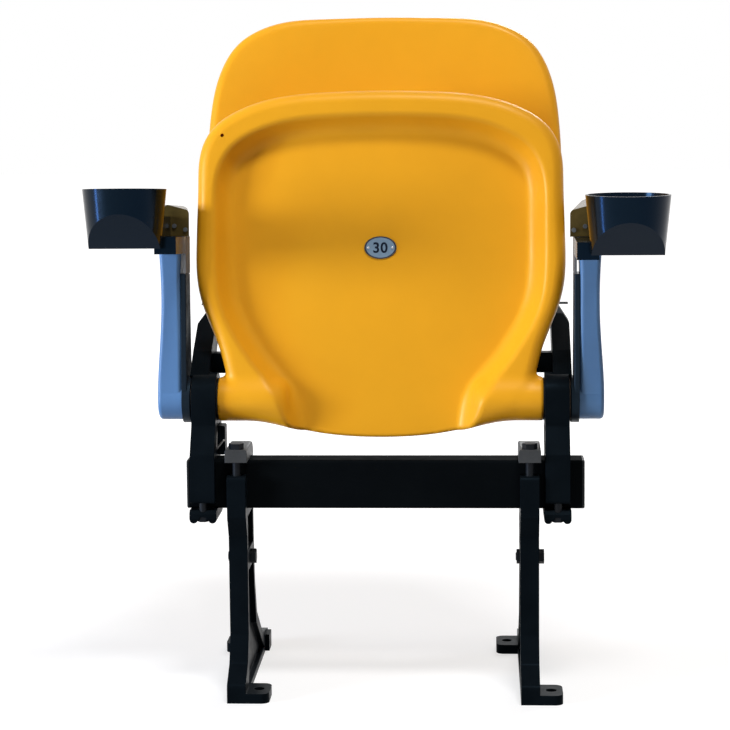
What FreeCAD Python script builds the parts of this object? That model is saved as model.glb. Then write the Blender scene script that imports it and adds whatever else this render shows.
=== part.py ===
import FreeCAD, Part
import math
import os
import Sketcher
import PartDesign
from FreeCAD import Placement, Rotation, Vector

# Tip-up stadium seat, in millimetres.
# X runs to the right as the seat is seen from the front, Y to the back, Z up.
# The floor is z = 0, and the origin lies under the middle of the whole seat.
# Every piece is drawn about the hinge line of the seat, or about its own middle,
# and is then carried to its place by its Placement.

doc = FreeCAD.newDocument("stadium_seat")
sheet = doc.addObject("Spreadsheet::Sheet", "Sizes")

# Hinge line
pivot_height = 361  # hinge line above the floor
pivot_forward = 11.5  # hinge line in front of the origin
side_gap = 0.15  # play on each side of a washer
pin_play = 0.05  # radial play of a turning fit
snug = 0.02  # radial play of a fit that stays still
free_gap = 0.3  # gap between pieces that only come close

# Seat moulding
seat_width = 456  # widest place of the seat
seat_length = 381  # hinge line to the front edge of the seat
seat_thickness = 40  # thickness of the rim
seat_neck = 368  # width of the seat beside the hinge
seat_tail = 49  # reach of the rear edge behind the hinge
seat_corner = 64  # size of the seat's front corners
seat_edge = 15  # rounding of the rim
seat_lean = 8  # backward lean of the raised seat, degrees
seat_wall = 3.5  # wall of the blown moulding
dish_depth = 22  # depth of the dish in the underside
dish_slope = 24  # width of the sloping wall of the dish
dish_side = 24  # rim width beside the dish
dish_top = 30  # rim width at the front edge
dish_throat = 245  # width of the dish at the hinge
dish_corner = 58  # size of the dish's upper corners
sitting_hollow = 5  # depth of the hollow that is sat in
barrel_length = 400  # length over the two hinge barrels
barrel_radius = 27  # radius of a hinge barrel
barrel_inner = 112  # where a barrel starts, from the middle
barrel_taper = 26  # length of a barrel's tapering root
socket_radius = 20  # radius of the socket in a barrel
socket_depth = 84  # depth of the socket in a barrel
vent_radius = 2.2  # radius of the vent hole
plate_width = 40  # number plate, across
plate_tall = 28  # number plate, up
plate_thickness = 1.2  # number plate
plate_rise = 187  # middle of the number plate above the hinge
rivet_pitch = 30  # distance between the rivets of the plate
rivet_radius = 1.5  # radius of a rivet head

# Backrest moulding
back_width = 454  # widest place of the backrest
back_length = 372  # bottom edge to top edge of the backrest
back_thickness = 30  # thickness of the backrest
back_corner = 90  # size of the backrest's upper corners
back_edge = 12  # rounding of the backrest
back_lean = 14  # backward lean of the backrest, degrees
back_bottom = 470  # bottom edge above the floor
back_behind = 104  # bottom edge behind the hinge line
back_wall = 3.5  # wall of the blown moulding
back_hollow = 9  # depth of the hollow that is leaned into
back_boss = 9  # radius of a screw boss in the backrest
back_hole_in = 178  # screws from the middle plane
back_hole_low = 46  # lower screws above the bottom edge
back_hole_pitch = 84  # upper screws above the lower ones
back_screw = 4  # radius of a backrest screw
back_screw_head = 13  # width of a backrest screw's head over its flats

# Beam
beam_length = 481  # length of the beam's tube
beam_height = 60  # height of the beam
beam_depth = 40  # depth of the beam
beam_wall = 3  # wall of the beam
beam_corner = 4  # rounding of the beam's corners
beam_bottom = 231  # underside of the beam above the floor
beam_forward = 20  # middle of the beam in front of the hinge line
beam_shift = 6  # middle of the beam to the right of the seat
cap_thickness = 3  # head of a beam cap
cap_plug = 14  # depth of a beam cap's plug

# Uprights
upright_width = 30  # width of an upright
hub_radius = 33  # radius of an upright's hub
jaw = 14  # thickness of the jaws around the beam
jaw_drop = 52  # length of the jaws below the beam's top
bar_outer = 235  # outer face of an upper arm from the middle
bar_width = 23  # width of an upper arm
flange_in = 150  # inner edge of a backrest flange
flange_out = 221  # outer edge of a backrest flange
flange_thickness = 8  # thickness of a backrest flange
flange_drop = 14  # flange below the backrest's bottom edge
flange_height = 160  # length of a backrest flange
horn_in = 164  # inner end of a stop horn
horn_height = 25  # height of a stop horn
horn_rise = 28  # underside of a stop horn above the hinge
horn_depth = 20  # depth of a stop horn
bumper_radius = 7  # radius of a stop bumper
bumper_rise = 4  # bumper in front of its horn
keeper_thickness = 11  # plate under the beam
clamp_bolt = 5  # radius of the bolts that clamp the uprights
clamp_head = 13  # width of a clamp bolt's head over its flats
clamp_sink = 3  # seat of a clamp bolt's head above the keeper's underside
bolt_head = 7  # height of a bolt head

# Hinge pins
pin_radius = 8  # radius of a hinge pin
thrust_washer = 1.2  # thickness of a thrust washer
bush_length = 26  # length of a hinge bush
nut_thickness = 9  # thickness of a pin's nut
nut_across = 24  # width of a pin's nut over its flats
spring_wire = 1.6  # radius of the return spring's wire
spring_radius = 13.5  # middle radius of the return spring
spring_turns = 4  # turns of the return spring
spring_pitch = 4.6  # pitch of the return spring
anchor_width = 9  # spring anchor, from the upright inwards
anchor_height = 36  # height of the spring anchor

# Legs
leg_spacing = 357  # distance between the legs
leg_shift = 4  # middle of the legs to the right of the seat
leg_width = 23  # width of a leg
leg_web = 9  # web of a leg between its ribs
leg_rib = 8  # rib around a leg's web
leg_front = 46  # front of a leg's column from the hinge line
leg_back = 30  # back of a leg's column from the hinge line
foot_front = 91  # front end of a foot from the hinge line
foot_back = 193  # back end of a foot from the hinge line
foot_rise = 22  # height of a foot's ends
pad_length = 28  # bolting pad, from the leg sideways
pad_depth = 49  # bolting pad, front to back
pad_thickness = 12  # bolting pad
floor_hole = 6.5  # radius of a floor bolt's hole
leg_jaw = 20  # thickness of a leg's front jaw
leg_jaw_top = 274  # top of a leg's front jaw
hook_width = 27  # width of a leg's hook clamp
hook_height = 16  # thickness of a leg's hook clamp
hook_bolt = 5  # radius of a hook clamp's bolt
cross_bolt = 5  # radius of a leg's cross bolt
cross_height = 165  # cross bolt above the floor
leg_bolt_head = 16  # width of a leg bolt's head over its flats
leg_nut = 4  # thickness of a cross bolt's nut

# Arms
left_arm_lift = 4  # how far the left arm stands raised, degrees
hub_disc = 29  # radius of an arm cover's disc
cover_in = 237  # inner face of an arm cover above its hub
post_in = 244  # inner face of an arm post
post_hub = 25  # radius of a post's round end
post_low = 30  # width of a post at its hub
post_mid = 24.5  # width of a post at its middle
post_top_in = 240.5  # inner face of a post at its top
post_top = 30.5  # width of a post at its top
post_height = 202  # top of a post above the hinge
post_round = 5  # rounding of a post
post_depth = 44  # depth of a post from its middle up
post_depth_top = 50  # depth of a post at its top
post_set_forward = 8  # middle of a post's upper part before the hinge line
nut_sink = 7  # how far a pin's nut is sunk into its post
cover_height = 156  # top of an arm cover above the hinge
cover_front = 27  # front of an arm cover before the hinge line
cover_rear = 13  # back of an arm cover's top behind the hinge line
core_thickness = 3  # steel core plate between an arm's cover and its armrest
rest_in = 231.3  # inner face of an armrest at its front
rest_width = 42  # width of an armrest at its front
rest_taper = 18  # how much narrower an armrest gets towards its back
rest_height = 38.5  # thickness of an armrest
rest_fall = 7  # fall of an armrest's top towards the seat
rest_front = 36  # front end of an armrest before the hinge line
rest_back = 90  # back end of an armrest behind the hinge line
rest_round = 6  # rounding of an armrest
rest_sole = 34  # where an armrest's underside starts to rise, behind the hinge line
rest_tip = 19  # thickness of an armrest's back end
cup_side = 294  # middle of a cup from the middle plane
cup_forward = 136  # middle of a cup in front of the hinge line
cup_rim = 258  # rim of a cup above the hinge line
cup_height = 70  # height of a cup
cup_top = 49.5  # radius of a cup at its rim
cup_bottom = 42.5  # radius of a cup at its bottom
cup_wall = 3  # wall of a cup
cup_cut = 27  # start of the sloping front below the rim
cup_cut_back = 4  # end of the sloping front before the cup's middle
lug_in = 236  # inner face of a cup's lug
lug_width = 26  # width of a cup's lug
lug_start = 16  # front end of a cup's lug behind the cup's middle
lug_drop = 21  # reach of a cup's lug below the armrest
collar_width = 36  # width of the lug's collar in front of the post
collar_depth = 17  # depth of the lug's collar in front of the post
web_width = 8  # width of the lug's web beside the armrest's screws
web_rise = 24  # reach of the lug's web above the armrest's underside
post_reach = 33  # front of a post's top before the hinge line
arm_screw = 1.5  # radius of an arm's screw

# Each size above becomes a row of the sheet, under its own name
sizes = [(name, number) for name, number in globals().items() if type(number) in (int, float)]
for row, (name, number) in enumerate(sizes, 1):
    sheet.set("A%d" % row, name)
    sheet.set("B%d" % row, str(number))
    sheet.setAlias("B%d" % row, name)
doc.recompute()


def value(expression):
    """Number that an expression of the sheet's sizes gives."""
    return float(sheet.evalExpression(expression))


# Places that several pieces share
upright_in = "(Sizes.barrel_length / 2 + Sizes.thrust_washer + 2 * Sizes.side_gap)"
upright_out = "(%s + Sizes.upright_width)" % upright_in
beam_top = "(Sizes.beam_bottom + Sizes.beam_height - Sizes.pivot_height)"
beam_low = "(Sizes.beam_bottom - Sizes.pivot_height)"
beam_front = "(-Sizes.beam_forward - Sizes.beam_depth / 2)"
beam_rear = "(-Sizes.beam_forward + Sizes.beam_depth / 2)"
arm_disc_in = "(%s + Sizes.thrust_washer + 2 * Sizes.side_gap)" % upright_out
pivot_y = "-Sizes.pivot_forward"
pivot_z = "Sizes.pivot_height"


# Helpers

def place(piece, x="0", y=pivot_y, z=pivot_z, turn=None):
    """Carry a piece to its place, turned about the X axis where turn is given."""
    if turn is not None:
        piece.Placement = Placement(Vector(), Rotation(Vector(1, 0, 0), 1))
        piece.setExpression("Placement.Rotation.Angle", turn)
    piece.setExpression("Placement.Base.x", x)
    piece.setExpression("Placement.Base.y", y)
    piece.setExpression("Placement.Base.z", z)
    return piece


def new_body(label):
    body = doc.addObject("PartDesign::Body", label)
    body.Label = label
    return body


def new_sketch(body, plane, offset="0"):
    sketch = body.newObject("Sketcher::SketchObject", "Sketch")
    origin = [f for f in body.Origin.OriginFeatures if f.Role == plane][0]
    sketch.AttachmentSupport = (origin, [""])
    sketch.MapMode = "FlatFace"
    sketch.setExpression("AttachmentOffset.Base.z", offset)
    return sketch


def pin_down(sketch, index, place_on_edge, number, expression, kind, name):
    constraint = Sketcher.Constraint(kind, -1, 1, index, place_on_edge, number)
    sketch.renameConstraint(sketch.addConstraint(constraint), name)
    sketch.setExpression("Constraints." + name, expression)


def add_polygon(sketch, corners):
    """Closed outline of straight edges, with both places of each corner bound."""
    start = sketch.GeometryCount
    points = [Vector(value(a), value(b), 0) for a, b in corners]
    count = len(points)
    for i in range(count):
        sketch.addGeometry(Part.LineSegment(points[i], points[(i + 1) % count]), False)
    for i in range(count):
        following = start + (i + 1) % count
        sketch.addConstraint(Sketcher.Constraint("Coincident", start + i, 2, following, 1))
    for i, (across, up) in enumerate(corners):
        tag = "%d" % (start + i)
        pin_down(sketch, start + i, 1, points[i].x, across, "DistanceX", "across" + tag)
        pin_down(sketch, start + i, 1, points[i].y, up, "DistanceY", "up" + tag)
    return sketch


def add_circle(sketch, across, up, radius):
    """Circle whose middle and radius are bound."""
    index = sketch.GeometryCount
    middle = Vector(value(across), value(up), 0)
    sketch.addGeometry(Part.Circle(middle, Vector(0, 0, 1), value(radius)), False)
    tag = "%d" % index
    pin_down(sketch, index, 3, middle.x, across, "DistanceX", "across" + tag)
    pin_down(sketch, index, 3, middle.y, up, "DistanceY", "up" + tag)
    size_of = Sketcher.Constraint("Radius", index, value(radius))
    sketch.renameConstraint(sketch.addConstraint(size_of), "radius" + tag)
    sketch.setExpression("Constraints.radius" + tag, radius)
    return sketch


def box_corners(left, right, low, high):
    return [(left, low), (right, low), (right, high), (left, high)]


def pad(body, sketch, length):
    """Pad that grows evenly to both sides of its sketch."""
    feature = body.newObject("PartDesign::Pad", "Pad")
    feature.Profile = sketch
    feature.Midplane = True
    feature.setExpression("Length", length)
    doc.recompute()
    assert feature.isValid(), body.Label + ": a pad fails"
    return feature


def pocket(body, sketch, length):
    """Pocket that cuts evenly to both sides of its sketch."""
    before = body.Shape.Volume
    feature = body.newObject("PartDesign::Pocket", "Pocket")
    feature.Profile = sketch
    feature.Midplane = True
    feature.setExpression("Length", length)
    doc.recompute()
    assert body.Shape.Volume < before, body.Label + ": a pocket cuts nothing"
    return feature


def slab(body, plane, middle, thickness, corners):
    return pad(body, add_polygon(new_sketch(body, plane, middle), corners), thickness)


def disc(body, plane, middle, thickness, across, up, radius):
    return pad(body, add_circle(new_sketch(body, plane, middle), across, up, radius), thickness)


def cut_slab(body, plane, middle, thickness, corners):
    return pocket(body, add_polygon(new_sketch(body, plane, middle), corners), thickness)


def cut_disc(body, plane, middle, thickness, across, up, radius):
    return pocket(body, add_circle(new_sketch(body, plane, middle), across, up, radius), thickness)


def fillet(body, radius, wanted):
    """Round the edges of a body's last shape that wanted picks."""
    doc.recompute()
    base = body.Tip
    names = ["Edge%d" % (i + 1) for i, e in enumerate(base.Shape.Edges) if wanted(e)]
    assert names, body.Label + ": no edge to round"
    feature = body.newObject("PartDesign::Fillet", "Fillet")
    feature.Base = (base, names)
    feature.setExpression("Radius", radius)
    doc.recompute()
    assert feature.isValid(), body.Label + ": a fillet fails"
    return feature


def runs_along(edge, axis):
    """True for a straight edge along an axis, 0 for X, 1 for Y and 2 for Z."""
    if len(edge.Vertexes) != 2 or edge.Curve.TypeId != "Part::GeomLine":
        return False
    way = edge.Vertexes[1].Point - edge.Vertexes[0].Point
    return abs(abs(way[axis]) - way.Length) < 1e-6


def runs_back(edge):
    """True for a straight edge that runs from front to back, or nearly so."""
    if len(edge.Vertexes) != 2 or edge.Curve.TypeId != "Part::GeomLine":
        return False
    return abs(edge.Vertexes[1].Point.y - edge.Vertexes[0].Point.y) > 0.9 * edge.Length


def near(edge, axis, number):
    return abs(edge.CenterOfMass[axis] - number) < 0.01


def shape_piece(label, shape, **where):
    """Piece whose shape is made from the sheet's sizes by solid modelling functions."""
    piece = doc.addObject("Part::Feature", label)
    piece.Label = label
    piece.Shape = shape
    return place(piece, **where)


def tube_along_x(radius, start, end, bore=0):
    """Round bar along X between two places, with a bore where one is given."""
    low = min(start, end)
    bar = Part.makeCylinder(radius, abs(end - start), Vector(low, 0, 0), Vector(1, 0, 0))
    if bore > 0:
        hole = Part.makeCylinder(bore, abs(end - start), Vector(low, 0, 0), Vector(1, 0, 0))
        bar = bar.cut(hole)
    return bar


def hexagon(across, height, base, way):
    """Hexagonal prism of a width over its flats, standing on base along way."""
    radius = across / math.sqrt(3)
    corners = [Vector(radius * math.cos(math.radians(60 * i)),
                      radius * math.sin(math.radians(60 * i)), 0) for i in range(7)]
    prism = Part.Face(Part.makePolygon(corners)).extrude(Vector(0, 0, height))
    prism.Placement = Placement(base, Rotation(Vector(0, 0, 1), way))
    return prism


def bolt(radius, head_across, head_height, length, base, way):
    """Hexagon bolt: the head stands on base against way, the shank runs along way."""
    shank = Part.makeCylinder(radius, length, base, way)
    head = hexagon(head_across, head_height, base, way * -1)
    return shank.fuse(head)


# Beam and its end caps

def make_beam():
    body = new_body("beam")
    half_depth = "Sizes.beam_depth / 2"
    half_height = "Sizes.beam_height / 2"
    slab(body, "YZ_Plane", "0", "Sizes.beam_length",
         box_corners("-" + half_depth, half_depth, "-" + half_height, half_height))
    fillet(body, "Sizes.beam_corner", lambda e: runs_along(e, 0))
    inner_depth = "(Sizes.beam_depth / 2 - Sizes.beam_wall)"
    inner_height = "(Sizes.beam_height / 2 - Sizes.beam_wall)"
    cut_slab(body, "YZ_Plane", "0", "Sizes.beam_length + 2",
             box_corners("-" + inner_depth, inner_depth, "-" + inner_height, inner_height))
    place(body, x="Sizes.beam_shift", y=pivot_y + " - Sizes.beam_forward",
          z="Sizes.beam_bottom + Sizes.beam_height / 2")


def make_beam_cap(name, side):
    body = new_body("beam_cap_" + name)
    depth = "(Sizes.beam_depth / 2)"
    height = "(Sizes.beam_height / 2)"
    head = "%d * Sizes.cap_thickness / 2" % side
    slab(body, "YZ_Plane", head, "Sizes.cap_thickness",
         box_corners("-" + depth, depth, "-" + height, height))
    fillet(body, "Sizes.beam_corner", lambda e: runs_along(e, 0))
    outer = side * value("Sizes.cap_thickness")
    fillet(body, "Sizes.cap_thickness * 0.6", lambda e: near(e, 0, outer))
    inner_depth = "(Sizes.beam_depth / 2 - Sizes.beam_wall - Sizes.snug)"
    inner_height = "(Sizes.beam_height / 2 - Sizes.beam_wall - Sizes.snug)"
    slab(body, "YZ_Plane", "%d * Sizes.cap_plug / 2" % -side, "Sizes.cap_plug",
         box_corners("-" + inner_depth, inner_depth, "-" + inner_height, inner_height))
    cut_slab(body, "YZ_Plane", "%d * Sizes.cap_plug / 2" % -side, "Sizes.cap_plug",
             box_corners("-(%s - Sizes.beam_wall)" % inner_depth,
                         "%s - Sizes.beam_wall" % inner_depth,
                         "-(%s - Sizes.beam_wall)" % inner_height,
                         "%s - Sizes.beam_wall" % inner_height))
    place(body, x="Sizes.beam_shift + %d * Sizes.beam_length / 2" % side,
          y=pivot_y + " - Sizes.beam_forward",
          z="Sizes.beam_bottom + Sizes.beam_height / 2")


# Legs: one casting, used twice and never mirrored

def leg_x(side):
    return "Sizes.leg_shift + %d * Sizes.leg_spacing / 2" % side


def make_leg(name, side):
    body = new_body("leg_" + name)
    front = "-Sizes.leg_front"
    rear = "Sizes.leg_back"
    jaw_front = "(%s - Sizes.leg_jaw)" % beam_front
    top = "(Sizes.beam_bottom + Sizes.beam_height - 5)"
    rise = "Sizes.foot_rise"
    slab(body, "YZ_Plane", "0", "Sizes.leg_width", [
        ("-Sizes.foot_front", "0"),
        ("Sizes.foot_back", "0"),
        ("Sizes.foot_back", rise),
        ("Sizes.foot_back - 70", rise + " + 12"),
        (rear + " + 26", rise + " + 56"),
        (rear + " + 6", rise + " + 104"),
        (rear, "Sizes.beam_bottom - 40"),
        (rear, "Sizes.beam_bottom - 8"),
        (beam_rear + " + 18", "Sizes.beam_bottom + 10"),
        (beam_rear + " + 18", top),
        (beam_rear, top),
        (beam_rear, "Sizes.beam_bottom"),
        (beam_front, "Sizes.beam_bottom"),
        (beam_front, "Sizes.leg_jaw_top"),
        (jaw_front, "Sizes.leg_jaw_top"),
        (jaw_front, "Sizes.beam_bottom - 8"),
        (front, "Sizes.beam_bottom - 34"),
        (front, rise + " + 52"),
        (front + " - 14", rise + " + 20"),
        ("-Sizes.foot_front", rise),
    ])
    kept_sharp = (value(beam_rear), value(beam_front))
    fillet(body, "6", lambda e: runs_along(e, 0) and e.CenterOfMass.z > 1
           and not any(near(e, 1, number) for number in kept_sharp))
    sunk = "((Sizes.leg_width - Sizes.leg_web) / 2)"
    rib = "Sizes.leg_rib"
    for face in (-1, 1):
        middle = "%d * (Sizes.leg_width / 2 - %s / 2)" % (face, sunk)
        cut_slab(body, "YZ_Plane", middle, sunk, [
            ("-Sizes.foot_front + 34", rib),
            ("Sizes.foot_back - 46", rib),
            ("Sizes.foot_back - 80", rise + " + 12 - " + rib),
            (rear + " + 26 - " + rib, rise + " + 52 - " + rib),
            (rear + " + 6 - " + rib, rise + " + 98"),
            (rear + " - " + rib, "Sizes.cross_height - 12"),
            (front + " + " + rib, "Sizes.cross_height - 12"),
            (front + " + " + rib, rise + " + 48"),
            (front + " - 6 + " + rib, rise + " + 14"),
        ])
        cut_slab(body, "YZ_Plane", middle, sunk, [
            (front + " + " + rib, "Sizes.cross_height + 12"),
            (rear + " - " + rib, "Sizes.cross_height + 12"),
            (rear + " - " + rib, "Sizes.beam_bottom - " + rib + " - 2"),
            (front + " + " + rib, "Sizes.beam_bottom - " + rib + " - 2"),
        ])
    half = "Sizes.leg_width / 2"
    pad_middle = "Sizes.pad_thickness / 2"
    front_pad = "(-Sizes.foot_front + Sizes.pad_depth / 2)"
    rear_pad = "(Sizes.foot_back - Sizes.pad_depth / 2)"
    half_pad = "Sizes.pad_depth / 2"
    slab(body, "XY_Plane", pad_middle, "Sizes.pad_thickness", box_corners(
        "0", half + " + Sizes.pad_length",
        front_pad + " - " + half_pad, front_pad + " + " + half_pad))
    slab(body, "XY_Plane", pad_middle, "Sizes.pad_thickness", box_corners(
        "-" + half + " - Sizes.pad_length", "0",
        rear_pad + " - " + half_pad, rear_pad + " + " + half_pad))
    slab(body, "XY_Plane", rise + " / 2", rise, box_corners(
        "0", half + " + 5.5", rear_pad + " - 14", rear_pad + " + 14"))
    reach = value("Sizes.leg_width / 2 + Sizes.pad_length")
    fillet(body, "10", lambda e: runs_along(e, 2) and abs(abs(e.CenterOfMass.x) - reach) < 0.01)
    for way, y in ((1, front_pad), (-1, rear_pad)):
        hole_x = "%d * (%s + Sizes.pad_length / 2)" % (way, half)
        cut_disc(body, "XY_Plane", pad_middle, "Sizes.pad_thickness + 2", hole_x, y,
                 "Sizes.floor_hole")
    cut_disc(body, "YZ_Plane", "0", "Sizes.leg_width + 2", "(%s + %s) / 2" % (front, rear),
             "Sizes.cross_height", "Sizes.cross_bolt + Sizes.snug")
    cut_disc(body, "XY_Plane", "Sizes.leg_jaw_top",
             "2 * (Sizes.leg_jaw_top - Sizes.beam_bottom - 4)", "0",
             beam_front + " - Sizes.leg_jaw / 2", "Sizes.hook_bolt + Sizes.snug")
    place(body, x=leg_x(side), z="0")


def make_leg_clamp(name, side):
    body = new_body("leg_clamp_" + name)
    low = "(Sizes.beam_bottom + Sizes.beam_height)"
    high = "(%s + Sizes.hook_height)" % low
    front = "(%s - Sizes.leg_jaw + 2)" % beam_front
    slab(body, "YZ_Plane", "0", "Sizes.hook_width", [
        (front, low),
        (beam_rear, low),
        (beam_rear, low + " - 5"),
        (beam_rear + " + 18", low + " - 5"),
        (beam_rear + " + 18", low + " + 6"),
        (beam_rear + " + 8", high),
        (front, high),
    ])
    top = value(high)
    fillet(body, "3", lambda e: near(e, 2, top) and runs_along(e, 1))
    cut_disc(body, "XY_Plane", low + " + Sizes.hook_height / 2", "Sizes.hook_height + 2", "0",
             beam_front + " - Sizes.leg_jaw / 2", "Sizes.hook_bolt + Sizes.snug")
    place(body, x=leg_x(side), z="0")


def make_leg_bolts():
    hooks = []
    crosses = []
    across = value("Sizes.leg_bolt_head")
    nut_height = value("Sizes.leg_nut")
    y = value(beam_front + " - Sizes.leg_jaw / 2")
    seat_of_head = value("Sizes.beam_bottom + Sizes.beam_height + Sizes.hook_height")
    depth = seat_of_head - value("Sizes.beam_bottom + 8")
    cross_y = value("(Sizes.leg_back - Sizes.leg_front) / 2")
    half = value("Sizes.leg_width / 2")
    for side in (-1, 1):
        x = value(leg_x(side))
        hooks.append(bolt(value("Sizes.hook_bolt"), across, value("Sizes.bolt_head"), depth,
                          Vector(x, y, seat_of_head), Vector(0, 0, -1)))
        start = Vector(x + half, cross_y, value("Sizes.cross_height"))
        through = bolt(value("Sizes.cross_bolt"), across, value("Sizes.bolt_head"),
                       2 * half + 1.25 * nut_height, start, Vector(-1, 0, 0))
        nut = hexagon(across, nut_height, Vector(x - half, cross_y, start.z), Vector(-1, 0, 0))
        crosses.append(through.fuse(nut))
    shape_piece("leg_clamp_bolts", Part.makeCompound(hooks), z="0")
    shape_piece("leg_cross_bolts", Part.makeCompound(crosses), z="0")


# Uprights: a left and a right casting

def leaned(behind, up):
    """Place in the side view of a point given in the backrest's own leaning frame."""
    lean = "Sizes.back_lean * 1deg"
    across = "(%s) * cos(%s) + (%s) * sin(%s) + Sizes.back_behind" % (behind, lean, up, lean)
    height = ("(%s) * cos(%s) - (%s) * sin(%s) + Sizes.back_bottom - Sizes.pivot_height"
              % (up, lean, behind, lean))
    return across, height


horn_front = ("(Sizes.seat_thickness / 2 / cos(Sizes.seat_lean * 1deg)"
              " + (Sizes.horn_rise + Sizes.horn_height / 2) * tan(Sizes.seat_lean * 1deg)"
              " + Sizes.bumper_radius * tan(Sizes.seat_lean * 1deg)"
              " + Sizes.bumper_rise + Sizes.free_gap)")
horn_middle = "(Sizes.horn_rise + Sizes.horn_height / 2)"
bumper_in = "(Sizes.horn_in + Sizes.bumper_radius + 3)"


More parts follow.
